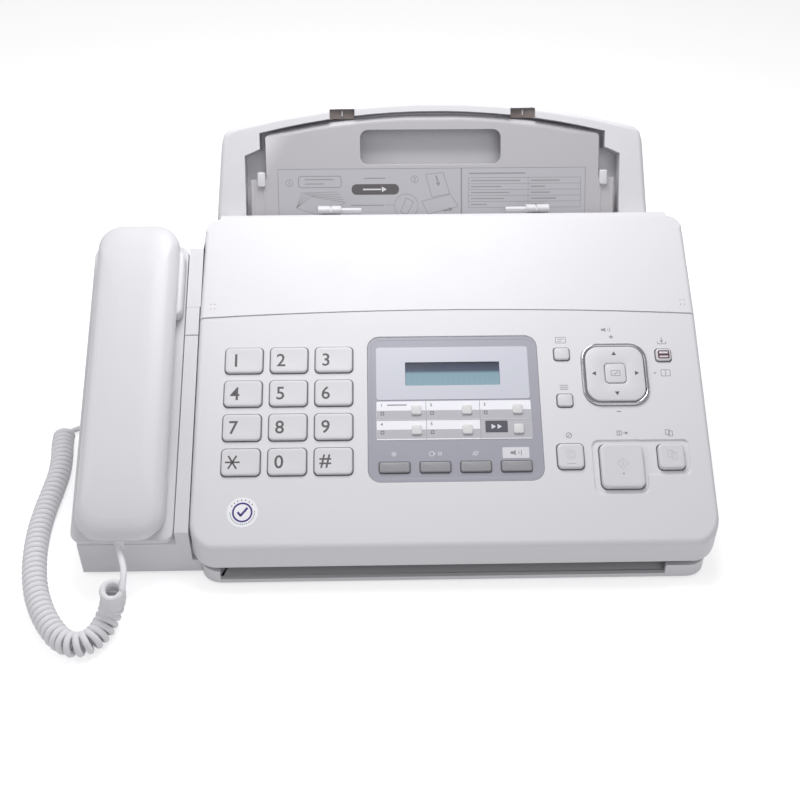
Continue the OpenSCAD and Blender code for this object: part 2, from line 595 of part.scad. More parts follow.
// Film wound on a core between two flanges
module film_roll(p, d, flange_d) {
    shaft(p, frame_r + frame_t + 2);
    rod_x(p, d, frame_l + 8, frame_r - 8);
    rod_x(p, shaft_d + 6, frame_l + 1, frame_r - 1);
    for (x = [frame_l + 6.4, frame_r - 8]) rod_x(p, flange_d, x, x + 1.6);
}
module platen_roller() {
    color(dark) seat() {
        rod_x(platen_at, platen_d, frame_l + 1.5, frame_r - 1.5);
        shaft(platen_at, gear_x + 6);
        translate([gear_x, platen_at[0], platen_at[1]]) gear(22, 5);
    }
}
module pickup_roller() {
    color(dark) seat() {
        shaft(pickup_at, frame_r + frame_t + 2);
        for (x = [-46, 0, 46]) {
            rod_x(pickup_at, 20, paper_x + x - 9, paper_x + x + 9);
            rod_x(pickup_at, 12, paper_x + x - 12, paper_x + x + 12);
        }
    }
}
module film_supply_roll() {
    color([0.13, 0.13, 0.16]) seat() film_roll(supply_at, 30, 36);
}
module film_takeup_roll() {
    color([0.13, 0.13, 0.16]) seat() film_roll(takeup_at, 18, 26);
}
module thermal_head() {
    color(steel) seat() {
        along_x(frame_l, frame_r) polygon([[88, 34.6], [108, 34.6], [108, 37], [104, 37], [104, 44], [101.6, 44], [101.6, 37], [88, 37]]);
        for (x = [frame_l + 12:12:frame_r - 12]) along_x(x, x + 1.6) polygon([[89, 36.9], [89, 39.4], [97, 42.6], [101.7, 43.4], [101.7, 36.9]]);
    }
}
idler_at = [platen_at[0] + 22, platen_at[1]];
module idler_gear() {
    color(white) seat() translate([gear_x, idler_at[0], idler_at[1]]) difference() {
        rotate([360 / 44, 0, 0]) gear(22, 5);
        translate([-1, 0, 0]) rotate([0, 90, 0]) cylinder(d = 5 + 2 * run_fit, h = 8);
    }
}
motor_at = [174, 34];
module drive_motor() {
    color(steel) seat() translate([frame_r - 18, motor_at[0], motor_at[1]]) rotate([0, 90, 0]) {
        cylinder(d = 34, h = 16);
        translate([0, 0, 16]) cylinder(d = 8, h = 2);
    }
}
board_at = [-70, 184, 9];
module main_board() {
    color([0.2, 0.42, 0.3]) seat() translate(board_at) {
        cube([150, 56, 1.6]);
        for (x = [20, 60, 110]) translate([x, 14, 1.5]) cube([22, 22, 4.1]);
        for (p = [[10, 10], [10, 24], [52, 10], [100, 44]]) translate([p[0], p[1], 1.5]) cylinder(d = 8, h = 10.1, $fn = 24);
        translate([88, 10, 1.5]) cube([14, 18, 13.1]);
        for (x = [24, 56, 116]) translate([x, 44, 1.5]) cube([22, 6, 6.1]);
    }
}
module bottom_plate() {
    color(steel) seat() translate([base_l + 14, 24, foot_h - 0.8]) cube([base_r - base_l - 28, body_d - 56, 0.8]);
}
foot_at = [[base_l + 22, 14], [base_r - 18, 14], [base_l + 22, body_d - 18], [base_r - 18, body_d - 18], [cradle_x + 20, 24], [cradle_x + 20, 150]];
module rubber_feet() {
    color(dark) seat() for (p = foot_at) translate([p[0], p[1], 0]) cylinder(d = 14, h = foot_h);
}
// Socket body behind the rear wall, with its mouth through the wall: left end, width, underside, height
sockets = [[-94, 24, 22, 16], [-55, 12, 23, 12], [-37, 12, 23, 12]];
module rear_jacks() {
    color(dark) seat() for (j = sockets) difference() {
        union() {
            translate([j[0] - 2, body_d - 14, j[2] - 2]) cube([j[1] + 4, 12 - wall, j[3] + 4]);
            translate([j[0] + 0.2, body_d - 2.2 - wall, j[2] + 0.2]) cube([j[1] - 0.4, wall - 0.2, j[3] - 0.4]);
        }
        translate([j[0] + 1.6, body_d - 12, j[2] + 1.8]) cube([j[1] - 3.2, 14, j[3] - 3.6]);
    }
}
lever_at = [118, 58];
module release_lever() {
    color([0.25, 0.55, 0.35]) seat() {
        translate([frame_l - frame_t - 5.4, lever_at[0], lever_at[1]]) rotate([0, 90, 0]) cylinder(d = 12, h = 4.4);
        translate([frame_l - frame_t - 5.4, lever_at[0] - 22, lever_at[1] - 3]) cube([4.4, 20, 8]);
    }
}

/* Base ------------------------------------------------------------------------------------------------ */
wing_z0 = front_h - cradle_drop - cradle_t / cos(panel_slope);    // wing's top, carried to the front face
module base_outline() {
    polygon([[-1, foot_h], [-1, 11], [13.5, 11], [13.5, part_z(13.5) - 0.6 + 3], [133, part_max + 3], [body_d - 2, 72.4], [body_d - 2, foot_h]]);
}
module base_cabinet() {
    color(white) seat() {
        difference() {
            intersection() {
                along_x(base_l, base_r) base_outline();
                plan(base_l, base_r, 0.4, body_d - 2, 12);
            }
            // inside of the tub
            intersection() {
                translate([0, 0, foot_h + wall + 10]) plan(base_l + wall, base_r - wall, 3, body_d - 2 - wall, 10);
                along_x(base_l, base_r) polygon([[0, foot_h + wall], [0, 200], [body_d, 200], [body_d, foot_h + wall]]);
            }
            // paper exit
            translate([-97, -5, exit_low]) cube([246.5, 12, 40]);
            // openings for the rear sockets
            for (j = sockets) translate([j[0], body_d - 12, j[2]]) cube([j[1], 20, j[3]]);
        }
        // side frames of the printing mechanism
        for (x = [frame_l - frame_t, frame_r]) difference() {
            along_x(x, x + frame_t) polygon([[40, foot_h + 1], [40, 36], [80, 52], [130, 66], [150, 70], [164, 86], [181, 82], [190, 76], [196, 60], [196, foot_h + 1]]);
            for (p = [platen_at, pickup_at, supply_at, takeup_at])
                rod_x(p, shaft_d + 2 * run_fit, x - 1, x + frame_t + 1);
        }
        // ears of the front cover's hinge, reaching forward from the side walls
        for (x = [base_l + 7.5, base_r - 10.5]) difference() {
            along_x(x, x + 3) union() {
                translate(front_pin) circle(boss_d / 2);
                polygon([[6, 15], [22, 8], [22, 24], [14, 21], [6, 21]]);
            }
            rod_x(front_pin, pin_d + 2 * run_fit, x - 1, x + 4);
        }
        for (x = [base_l + wall - 0.3, base_r - 8.5]) along_x(x, x + 8.5 + 0.3 - wall) polygon([[16, 10.6], [22, 8], [22, 24], [16, 21.8]]);
        // ears of the back cover's hinge, on the rear wall
        for (x = hinge_at) difference() {
            union() {
                rod_x(back_pin, lug_d, x + 1.5, x + 7.5);
                translate([x + 1.5, body_d - 2 - wall, 70]) cube([6, wall, back_pin[1] - 70]);
            }
            rod_x(back_pin, hinge_pin_d + 2 * run_fit, x, x + 9);
        }
        // posts under the main board
        for (x = [-65, 75], y = [190, 237]) translate([x, y, foot_h + 1]) cylinder(d = 6, h = board_at[2] - foot_h - 1);
        // post of the idler gear
        rod_x(idler_at, 5, frame_r + frame_t - 0.2, gear_x + 7);
        // wing under the cradle, and the strip beside the front cover
        difference() {
            union() {
                along_x(cradle_x + 2.6, base_l + 0.2) polygon([[9.6, foot_h], [9.6, wing_z0 + 9.6 * tan(panel_slope)],
                    [162, wing_z0 + 162 * tan(panel_slope)], [168, 103], [168, foot_h]]);
                along_x(strip_x, left_x - gap) polygon([[9.6, foot_h], [9.6, panel_z(9.6) - strip_drop],
                    [split_y, panel_z(split_y) - strip_drop], [split_y, part_max], [168, part_max], [168, foot_h]]);
            }
            along_x(cradle_x + 2.6 + wall, strip_x - 2) polygon([[12, foot_h + wall], [12, 90], [166, 140], [166, foot_h + wall]]);
            // room for the covers' left skirts
            along_x(left_x - gap, base_l + 1) polygon([[-5, 11], [-5, 200], [200, 200], [200, part_max - 1.2], [133, part_max - 1.2],
                [13.5, part_z(13.5) - 1.2], [13.5, 11]]);
            // the back cover's strip stands over the wing here
            along_x(strip_x - 0.8, base_l + 1) polygon([[split_y, 200], [split_y, part_max], [200, part_max], [200, 200]]);
        }
    }
}

base_cabinet();
bottom_plate();
front_cover();
back_cover();
display_bezel();
lcd_module();
nav_ring();
operation_board();
paper_tray();
tension_plate();
document_guide_left();
document_guide_right();
handset_upper_shell();
handset_lower_shell();
cradle();
hook_lever();
cord_coil();
cord_lead_handset();
cord_lead_base();
film_supply_roll();
film_takeup_roll();
platen_roller();
pickup_roller();
thermal_head();
idler_gear();
drive_motor();
main_board();
rear_jacks();
rubber_feet();
release_lever();
number_key(0);  // key_1
number_key(1);  // key_2
number_key(2);  // key_3
number_key(3);  // key_4
number_key(4);  // key_5
number_key(5);  // key_6
number_key(6);  // key_7
number_key(7);  // key_8
number_key(8);  // key_9
number_key(9);  // key_star
number_key(10);  // key_0
number_key(11);  // key_hash
touch_key(0);  // one_touch_key_1
touch_key(1);  // one_touch_key_2
touch_key(2);  // one_touch_key_3
touch_key(3);  // one_touch_key_4
touch_key(4);  // one_touch_key_5
touch_key(5);  // one_touch_key_6
func_key(0);  // function_key_1
func_key(1);  // function_key_2
func_key(2);  // function_key_3
func_key(3);  // function_key_4
small_key(0);  // caller_id_key
small_key(1);  // menu_key
small_key(2);  // auto_answer_key
nav_key();
set_key();
stop_key();
start_key();
copy_key();
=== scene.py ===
"""Desktop plain-paper fax machine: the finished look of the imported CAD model, laid out as an add-on.

Each operator makes or finishes one group of pieces. Shapes are drawn in millimetres and their place brings
them to metres. The widths that softened() takes are in metres.
"""

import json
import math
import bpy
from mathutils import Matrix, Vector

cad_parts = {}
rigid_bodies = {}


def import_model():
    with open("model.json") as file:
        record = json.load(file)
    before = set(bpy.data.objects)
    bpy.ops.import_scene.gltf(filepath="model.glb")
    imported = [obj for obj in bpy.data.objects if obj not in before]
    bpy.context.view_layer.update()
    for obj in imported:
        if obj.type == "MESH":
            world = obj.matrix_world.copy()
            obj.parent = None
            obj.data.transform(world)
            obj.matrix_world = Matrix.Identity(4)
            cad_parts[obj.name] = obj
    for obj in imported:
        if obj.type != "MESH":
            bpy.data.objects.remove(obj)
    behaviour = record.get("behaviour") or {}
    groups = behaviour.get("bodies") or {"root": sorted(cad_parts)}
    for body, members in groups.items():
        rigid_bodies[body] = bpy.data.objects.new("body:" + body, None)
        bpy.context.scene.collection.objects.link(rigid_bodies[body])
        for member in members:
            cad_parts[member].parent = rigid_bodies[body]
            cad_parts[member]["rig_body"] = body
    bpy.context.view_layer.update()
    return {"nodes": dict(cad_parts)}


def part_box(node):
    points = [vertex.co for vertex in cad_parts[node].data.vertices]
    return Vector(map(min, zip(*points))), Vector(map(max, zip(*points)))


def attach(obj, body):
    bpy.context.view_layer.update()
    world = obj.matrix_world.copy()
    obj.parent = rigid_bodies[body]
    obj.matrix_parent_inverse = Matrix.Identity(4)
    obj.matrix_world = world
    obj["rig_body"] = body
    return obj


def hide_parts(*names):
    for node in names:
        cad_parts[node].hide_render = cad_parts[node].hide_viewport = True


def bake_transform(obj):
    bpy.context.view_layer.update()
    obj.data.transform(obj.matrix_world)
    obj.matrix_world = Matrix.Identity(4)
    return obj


bl_info = {
    "name": "Fax machine",
    "version": (1, 0, 0),
    "blender": (4, 5, 0),
    "location": "3D View > Sidebar > Fax",
    "description": "Finishes a fax machine with its keys, display, handset, cord, paper tray and mechanism",
    "category": "Object",
}

import bmesh
import bpy
from mathutils import Matrix, Vector
from mathutils.bvhtree import BVHTree

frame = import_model()

MM = 0.001
IN_MM = Matrix.Scale(MM, 4)
HALF_DEPTH = 126  # drawings count Y from the body's front edge, the frame from its middle
SEAT = Matrix.Translation((0, -HALF_DEPTH * MM, 0))
WHOLE = SEAT @ IN_MM


def rotation(degrees, axis):
    return Matrix.Rotation(math.radians(degrees), 4, axis)


def leaning(y_mm, z_mm, degrees):
    """The place of a surface that leans back: X, up its slope and out of it, in millimetres."""
    return SEAT @ Matrix.Translation((0, y_mm * MM, z_mm * MM)) @ rotation(degrees, "X") @ IN_MM


PANEL_LEAN, PANEL_FOOT = 30, 29.5
PANEL = leaning(0, PANEL_FOOT, PANEL_LEAN)
CRADLE = leaning(0, 24.9, PANEL_LEAN)
TOP = leaning(122, 99.94, 26.5)
PLATE = leaning(193, 117.9, 59.4)
PAPER_X = 26.5  # the middle of the paper's path

# Where the keys stand on the panel
NUMERALS = "123456789*0#"
NUMBER_KEYS = tuple("key_" + {"*": "star", "#": "hash"}.get(figure, figure) for figure in NUMERALS)
COLUMNS = (-85.5, -59.8, -34.1)
ROWS = (109.55, 89.2, 68.85, 48.5)
TOUCH_X = (12.6, 41.2, 70.0)
TOUCH_Y = (78.4, 66.5)
FUNCTION_X = (-0.2, 22.5, 45.1, 67.7)
FUNCTION_Y = 44.6
NAVIGATION = (127.0, 98.7)
DISPLAY_SPAN = (-0.0009, 0.0133)  # the glass from bottom to top, turned as the panel is, in metres


# --- Properties ---


def colour(name, description, default):
    return bpy.props.FloatVectorProperty(
        name=name, description=description, subtype="COLOR", size=3, min=0, max=1, default=default
    )


class FAX_PG_colours(bpy.types.PropertyGroup):
    housing: colour("Housing", "Moulded covers, base and handset", (0.755, 0.75, 0.775))
    keys: colour("Keys", "Number keys and command keys", (0.71, 0.705, 0.727))
    bezel: colour("Bezel", "Frame round the display and the one-touch keys", (0.378, 0.378, 0.437))
    function_keys: colour("Function keys", "Four long keys under the display", (0.33, 0.33, 0.345))
    plate: colour("Tension plate", "Plate that holds the blank paper back", (0.50, 0.485, 0.505))
    card: colour("Card", "Name card", (0.89, 0.885, 0.94))
    ink: colour("Ink", "Printed numerals and arrows", (0.115, 0.105, 0.11))
    cord: colour("Cord", "Vinyl of the curly cord", (0.858, 0.853, 0.87))


def length(name, description, default, low, high):
    return bpy.props.FloatProperty(
        name=name, description=description, default=default, min=low, max=high,
        subtype="DISTANCE", unit="LENGTH"
    )


class FAX_PG_sizes(bpy.types.PropertyGroup):
    edge_round: length("Edge round", "Radius of the mouldings' sharp edges", 0.0004, 0.0001, 0.001)
    cover_round: length("Cover round", "Radius where the covers' tops meet their sides", 0.0028, 0.001, 0.004)
    wire: length("Cord wire", "Diameter of the curly cord's own wire", 0.0034, 0.003, 0.004)
    coil_pitch: length("Coil pitch", "Distance from turn to turn of the curly cord", 0.0038, 0.0036, 0.005)
    coil_across: length("Coil width", "Outer diameter of the curly cord's turns", 0.0136, 0.011, 0.015)


def colours():
    return bpy.context.scene.fax_colours


def sizes():
    return bpy.context.scene.fax_sizes


# --- Materials ---


def group_tree(name, **inputs):
    """An empty node group for a surface, with the sockets of its two end nodes."""
    tree = bpy.data.node_groups.new(name, "ShaderNodeTree")
    tree.interface.new_socket(name="Vector", in_out="INPUT", socket_type="NodeSocketVector")
    for label, value in inputs.items():
        kind = "NodeSocketColor" if isinstance(value, tuple) else "NodeSocketFloat"
        tree.interface.new_socket(name=label, in_out="INPUT", socket_type=kind).default_value = value
    for label, kind in (("Colour", "Color"), ("Roughness", "Float"), ("Height", "Float")):
        tree.interface.new_socket(name=label, in_out="OUTPUT", socket_type="NodeSocket" + kind)
    start, end = tree.nodes.new("NodeGroupInput"), tree.nodes.new("NodeGroupOutput")
    return tree, start.outputs, end.inputs


def feed(tree, socket, value):
    """Links a socket to another one, or sets its plain number or colour."""
    if hasattr(value, "links"):
        tree.links.new(value, socket)
    elif hasattr(value, "__len__"):
        socket.default_value = (*value, 1.0)
    else:
        socket.default_value = value


def noise(tree, vector, scale, detail, roughness=0.5):
    node = tree.nodes.new("ShaderNodeTexNoise")
    for label, value in (("Detail", detail), ("Roughness", roughness), ("Scale", scale), ("Vector", vector)):
        feed(tree, node.inputs[label], value)
    return node.outputs["Fac"]


def math_node(tree, operation, *values, clamp=False):
    node = tree.nodes.new("ShaderNodeMath")
    node.operation = operation
    node.use_clamp = clamp
    for socket, value in zip(node.inputs, values):
        feed(tree, socket, value)
    return node.outputs[0]


def mix_colour(tree, factor, a, b, blend="MIX"):
    node = tree.nodes.new("ShaderNodeMix")
    node.data_type = "RGBA"
    node.blend_type = blend
    for label, value in (("Factor", factor), ("A", a), ("B", b)):
        feed(tree, node.inputs[label], value)
    return node.outputs["Result"]


def about(tree, middle, swing, value):
    """The middle value, swung up and down by what a texture's value is off its half."""
    return math_node(tree, "MULTIPLY_ADD", math_node(tree, "SUBTRACT", value, 0.5), swing, middle)


def ramp(tree, factor, stops):
    node = tree.nodes.new("ShaderNodeValToRGB")
    elements = node.color_ramp.elements
    while len(elements) < len(stops):
        elements.new(0.5)
    for element, (place, value) in zip(elements, stops):
        element.position = place
        element.color = (*value, 1)
    tree.links.new(factor, node.inputs["Fac"])
    return node.outputs["Color"]


def make_grain_group():
    """Moulded grain: a fine spark-eroded texture, slow colour variation and the dust that settles low."""
    tree, (vector, base, shade, dust, rough, grain, _), end = group_tree(
        "moulded_grain", Colour=(0.8, 0.8, 0.8, 1), Shade=0.04, Dust=0.05, Roughness=0.45, Grain=2600.0)
    slow = noise(tree, vector, 9.0, 3.0)
    blotch = noise(tree, vector, 55.0, 4.0, 0.6)
    fine = noise(tree, vector, grain, 2.0, 0.55)
    coarse = noise(tree, vector, 700.0, 2.0)
    shaded = mix_colour(tree, 1.0, base, (0.55, 0.54, 0.56), "MULTIPLY")
    darker = mix_colour(tree, math_node(tree, "MULTIPLY", shade, slow), base, shaded)
    split = tree.nodes.new("ShaderNodeSeparateXYZ")
    tree.links.new(vector, split.inputs[0])
    height = math_node(tree, "MULTIPLY", split.outputs["Z"], 14.0)
    low = math_node(tree, "SUBTRACT", 1.0, height, clamp=True)
    settled = math_node(tree, "MULTIPLY", math_node(tree, "MULTIPLY", low, blotch), dust)
    tree.links.new(mix_colour(tree, settled, darker, (0.42, 0.40, 0.38)), end["Colour"])
    tree.links.new(about(tree, rough, 0.12, blotch), end["Roughness"])
    tree.links.new(math_node(tree, "MULTIPLY_ADD", coarse, 0.5, fine), end["Height"])


def make_brushed_group():
    """Brushed or rolled metal: long fine scratches along one axis and a little smudging."""
    tree, (vector, base, rough, spread, _), end = group_tree(
        "brushed_metal", Colour=(0.6, 0.6, 0.6, 1), Roughness=0.3, Spread=0.2)
    stretch = tree.nodes.new("ShaderNodeMapping")
    stretch.inputs["Scale"].default_value = (30.0, 900.0, 900.0)
    tree.links.new(vector, stretch.inputs["Vector"])
    lines = noise(tree, stretch.outputs[0], 1.0, 3.0, 0.6)
    smudge = noise(tree, vector, 60.0, 3.0)
    shaded = mix_colour(tree, 1.0, base, (0.6, 0.6, 0.62), "MULTIPLY")
    tree.links.new(mix_colour(tree, math_node(tree, "MULTIPLY", lines, 0.35), base, shaded), end["Colour"])
    swing = about(tree, rough, spread, lines)
    tree.links.new(about(tree, swing, 0.15, smudge), end["Roughness"])
    tree.links.new(lines, end["Height"])


def placed_group(tree, group, values):
    node = tree.nodes.new("ShaderNodeGroup")
    node.node_tree = bpy.data.node_groups[group]
    place = tree.nodes.new("ShaderNodeTexCoord")
    tree.links.new(place.outputs["Object"], node.inputs["Vector"])
    for label, value in values.items():
        feed(tree, node.inputs[label], value)
    return node


def shader(name, **sockets):
    """A material with one Principled shader whose plain values are set on its own sockets."""
    material = bpy.data.materials.new(name)
    material.use_nodes = True
    tree = material.node_tree
    bsdf = next(n for n in tree.nodes if n.type == "BSDF_PRINCIPLED")
    for label, value in sockets.items():
        bsdf.inputs[label].default_value = value
    return material, tree, bsdf


def bump(tree, bsdf, height, depth, strength=0.35):
    node = tree.nodes.new("ShaderNodeBump")
    node.inputs["Strength"].default_value = strength
    node.inputs["Distance"].default_value = depth
    tree.links.new(height, node.inputs["Height"])
    tree.links.new(node.outputs["Normal"], bsdf.inputs["Normal"])


def surfaced(made, node, depth, strength=0.35):
    """Links a surface group's outputs to a material's shader."""
    material, tree, bsdf = made
    tree.links.new(node.outputs["Colour"], bsdf.inputs["Base Color"])
    tree.links.new(node.outputs["Roughness"], bsdf.inputs["Roughness"])
    bump(tree, bsdf, node.outputs["Height"], depth, strength)
    return material


def plastic(name, base, rough, shade=0.05, dust=0.06, depth=0.00003, grain=2600.0, **sockets):
    made = shader(name, **sockets)
    values = {"Colour": base, "Roughness": rough, "Shade": shade, "Dust": dust, "Grain": grain}
    return surfaced(made, placed_group(made[1], "moulded_grain", values), depth)


def metal(name, base, rough, spread):
    made = shader(name, Metallic=1.0)
    values = {"Colour": base, "Roughness": rough, "Spread": spread}
    return surfaced(made, placed_group(made[1], "brushed_metal", values), 0.00002, 0.2)


def display_material():
    """Liquid crystal behind glass: teal below, darker towards its top edge in a painted gradient of
    reflection and shadow, with faint dot columns.
    """
    material, tree, bsdf = shader("display_glass", **{"Coat Weight": 0.8, "Coat Roughness": 0.05, "IOR": 1.5})
    place = tree.nodes.new("ShaderNodeTexCoord")
    turn = tree.nodes.new("ShaderNodeMapping")
    turn.vector_type = "POINT"
    turn.inputs["Rotation"].default_value = (math.radians(-PANEL_LEAN), 0, 0)
    tree.links.new(place.outputs["Object"], turn.inputs["Vector"])
    split = tree.nodes.new("ShaderNodeSeparateXYZ")
    tree.links.new(turn.outputs[0], split.inputs[0])
    low, high = DISPLAY_SPAN
    up = tree.nodes.new("ShaderNodeMapRange")
    up.inputs["From Min"].default_value = low
    up.inputs["From Max"].default_value = high
    tree.links.new(split.outputs["Y"], up.inputs["Value"])
    # painted reflection and painted shadow: the ramp runs from teal below to dark at the top edge
    stops = (
        (0.0, (0.284, 0.424, 0.493)), (0.52, (0.25, 0.385, 0.455)),
        (0.64, (0.08, 0.105, 0.155)), (1.0, (0.036, 0.04, 0.07)),
    )
    shade = ramp(tree, up.outputs[0], stops)
    columns = tree.nodes.new("ShaderNodeTexWave")
    columns.bands_direction = "X"
    columns.inputs["Scale"].default_value = 105.0
    tree.links.new(place.outputs["Object"], columns.inputs["Vector"])
    faint = math_node(tree, "MULTIPLY", columns.outputs["Fac"], 0.03)
    tree.links.new(mix_colour(tree, faint, shade, (0.04, 0.08, 0.09)), bsdf.inputs["Base Color"])
    smears = noise(tree, place.outputs["Object"], 120.0, 2.0)
    tree.links.new(math_node(tree, "MULTIPLY_ADD", smears, 0.08, 0.14), bsdf.inputs["Roughness"])
    return material


def board_material():
    """Solder mask over copper tracks."""
    material, tree, bsdf = shader("circuit_board", **{"Coat Weight": 0.3})
    place = tree.nodes.new("ShaderNodeTexCoord")
    tracks = tree.nodes.new("ShaderNodeTexBrick")
    tracks.inputs["Scale"].default_value = 90.0
    tracks.inputs["Mortar Size"].default_value = 0.03
    mask = (("Color1", (0.018, 0.11, 0.05)), ("Color2", (0.022, 0.135, 0.06)), ("Mortar", (0.05, 0.22, 0.10)))
    for label, value in mask:
        feed(tree, tracks.inputs[label], value)
    tree.links.new(place.outputs["Object"], tracks.inputs["Vector"])
    speck = noise(tree, place.outputs["Object"], 400.0, 2.0)
    dimmed = math_node(tree, "MULTIPLY", speck, 0.25)
    shaded = mix_colour(tree, dimmed, tracks.outputs["Color"], (0.01, 0.05, 0.02))
    tree.links.new(shaded, bsdf.inputs["Base Color"])
    tree.links.new(math_node(tree, "MULTIPLY_ADD", speck, 0.15, 0.3), bsdf.inputs["Roughness"])
    bump(tree, bsdf, tracks.outputs["Fac"], 0.00004)
    return material


# What kinds of plastic change: their dust, their shade and their grain's depth
FINE = {"dust": 0.0, "depth": 0.00001}
PRINT = {"dust": 0.0, "depth": 0.000004}
CARD = {"dust": 0.0, "shade": 0.02, "depth": 0.000006}
CLEAN = {"dust": 0.0}

# Each plastic's colour or colour setting, its roughness and what else it changes
PLASTICS = {
    "housing": ("housing", 0.46, {}),
    "handset_shell": ("housing", 0.40, {"depth": 0.000015}),
    "key_cap": ("keys", 0.42, FINE),
    "bezel_grey": ("bezel", 0.36, FINE),
    "function_cap": ("function_keys", 0.4, FINE),
    "touch_cap": ((0.72, 0.72, 0.72), 0.42, FINE),
    "plate_plastic": ("plate", 0.38, FINE),
    "card_stock": ("card", 0.5, FINE | {"shade": 0.02, "grain": 900.0}),
    "display_panel": ((0.61, 0.62, 0.69), 0.3, CARD),
    "label_stock": ((0.49, 0.485, 0.52), 0.42, CARD),
    "ink": ("ink", 0.5, PRINT),
    "soft_ink": ((0.30, 0.29, 0.30), 0.5, PRINT),
    "pale_ink": ((0.72, 0.72, 0.76), 0.45, PRINT),
    "mark_ink": ((0.52, 0.44, 0.45), 0.5, PRINT),
    "relief": ((0.60, 0.59, 0.60), 0.45, PRINT),
    "rule_grey": ((0.34, 0.34, 0.38), 0.5, PRINT),
    "block_grey": ((0.085, 0.085, 0.11), 0.45, PRINT),
    "seal_paper": ((0.93, 0.925, 0.96), 0.35, CARD),
    "seal_violet": ((0.075, 0.045, 0.235), 0.4, PRINT),
    "seal_green": ((0.05, 0.21, 0.09), 0.4, PRINT),
    "lamp_window": ((0.13, 0.055, 0.065), 0.25, PRINT | {"Coat Weight": 0.6}),
    "slot_brown": ((0.185, 0.155, 0.145), 0.55, CLEAN),
    # the keypad's rubber, coloured dark as painted shadow in the gaps round the keys
    "gap_shade_rubber": ((0.15, 0.145, 0.155), 0.7, CLEAN),
    "rubber": ((0.028, 0.028, 0.03), 0.72, {"shade": 0.3, "depth": 0.00006, "grain": 1500.0}),
    "roller_rubber": ((0.05, 0.05, 0.054), 0.6, {"shade": 0.2, "dust": 0.0, "depth": 0.00004}),
    "print_film": ((0.012, 0.012, 0.018), 0.16, FINE | {"shade": 0.2, "grain": 200.0, "Coat Weight": 0.5}),
    "socket_black": ((0.03, 0.03, 0.033), 0.4, CLEAN),
    "lever_green": ((0.03, 0.20, 0.085), 0.4, CLEAN),
    "gear_acetal": ((0.70, 0.69, 0.65), 0.35, FINE),
    "chip_black": ((0.02, 0.02, 0.022), 0.5, CLEAN),
    "cord_vinyl": ("cord", 0.36, FINE | {"dust": 0.08, "Subsurface Weight": 0.12, "Subsurface Scale": 0.001}),
}

# Each metal's colour, its roughness and how far its scratches vary that
METALS = {
    "chrome": ((0.62, 0.63, 0.65), 0.16, 0.08),
    "zinc_sheet": ((0.56, 0.57, 0.58), 0.38, 0.2),
    "turned_steel": ((0.60, 0.60, 0.61), 0.24, 0.2),
    "gold_contact": ((0.80, 0.56, 0.22), 0.25, 0.2),
}

OTHERS = {"display_glass": display_material, "circuit_board": board_material}


def finish(name):
    """The material of that name, made the first time it is asked for."""
    made = bpy.data.materials.get(name)
    if made:
        return made
    if name in METALS:
        return metal(name, *METALS[name])
    if name in OTHERS:
        return OTHERS[name]()
    base, rough, changes = PLASTICS[name]
    return plastic(name, getattr(colours(), base) if isinstance(base, str) else base, rough, **changes)


# --- Shapes ---


def linked(name, data):
    """A new object of the scene."""
    shown = bpy.data.objects.new(name, data)
    bpy.context.scene.collection.objects.link(shown)
    return shown


def mesh_of(curve):
    """The mesh of a curve or a text, which is used up."""
    shown = linked("curve", curve)
    mesh = bpy.data.meshes.new_from_object(shown.evaluated_get(bpy.context.evaluated_depsgraph_get()))
    bpy.data.objects.remove(shown)
    bpy.data.curves.remove(curve)
    return mesh


def joined(*shapes):
    """One bmesh out of several, which are used up."""
    whole = bmesh.new()
    for shape in shapes:
        mesh = bpy.data.meshes.new("part")
        shape.to_mesh(mesh)
        shape.free()
        whole.from_mesh(mesh)
        bpy.data.meshes.remove(mesh)
    return whole


def moved(bm, at=(0, 0, 0), turn=0.0, axis="Z"):
    bmesh.ops.transform(bm, matrix=Matrix.Translation(at) @ rotation(turn, axis), verts=bm.verts)
    return bm


def bevel(bm, geom, width, segments, affect="EDGES", clamp=False):
    return bmesh.ops.bevel(
        bm, geom=geom, offset=width, segments=segments, profile=0.5,
        affect=affect, clamp_overlap=clamp, material=-1
    )


def rounded_face(width, depth, radius, z=0.0, segments=6):
    bm = bmesh.new()
    place = Matrix.Translation((0, 0, z)) @ Matrix.Diagonal((width, depth, 1, 1))
    bmesh.ops.create_grid(bm, x_segments=1, y_segments=1, size=0.5, matrix=place)
    if radius:
        bevel(bm, list(bm.verts), radius, segments, "VERTICES")
    return bm


def raised(bm, height):
    """The flat faces drawn up into a closed solid."""
    bottom = list(bm.faces)
    made = bmesh.ops.extrude_face_region(bm, geom=bottom, use_keep_orig=True)
    bmesh.ops.translate(
        bm, vec=(0, 0, height), verts=[v for v in made["geom"] if isinstance(v, bmesh.types.BMVert)]
    )
    bmesh.ops.recalc_face_normals(bm, faces=bm.faces)
    return bm


def rounded_rim(bm, z, width, segments=3):
    """Rounds the edges that lie at the height z."""

    def at_rim(edge):
        level = all(abs(v.co.z - z) < 1e-5 for v in edge.verts)
        return level and len(edge.link_faces) == 2 and edge.calc_face_angle(0) > 0.3

    bevel(bm, [e for e in bm.edges if at_rim(e)], width, segments, clamp=True)
    return bm


def slab(width, depth, radius, low, high, top_round=0.0, bottom_round=0.0, segments=6, at=(0, 0)):
    bm = raised(rounded_face(width, depth, radius, low, segments), high - low)
    if bottom_round:
        rounded_rim(bm, low, bottom_round)
    if top_round:
        rounded_rim(bm, high, top_round)
    return moved(bm, (*at, 0))


def framed(width, depth, radius, hole_width, hole_depth, hole_radius, low, high, top_round, segments=8):
    """A rounded slab with a rounded opening through it."""
    outer = rounded_face(width, depth, radius, low, segments)
    bm = joined(outer, rounded_face(hole_width, hole_depth, hole_radius, low, segments))
    bmesh.ops.delete(bm, geom=list(bm.faces), context="FACES_ONLY")
    bmesh.ops.bridge_loops(bm, edges=list(bm.edges))
    raised(bm, high - low)
    if top_round:
        rounded_rim(bm, high, top_round)
    return bm


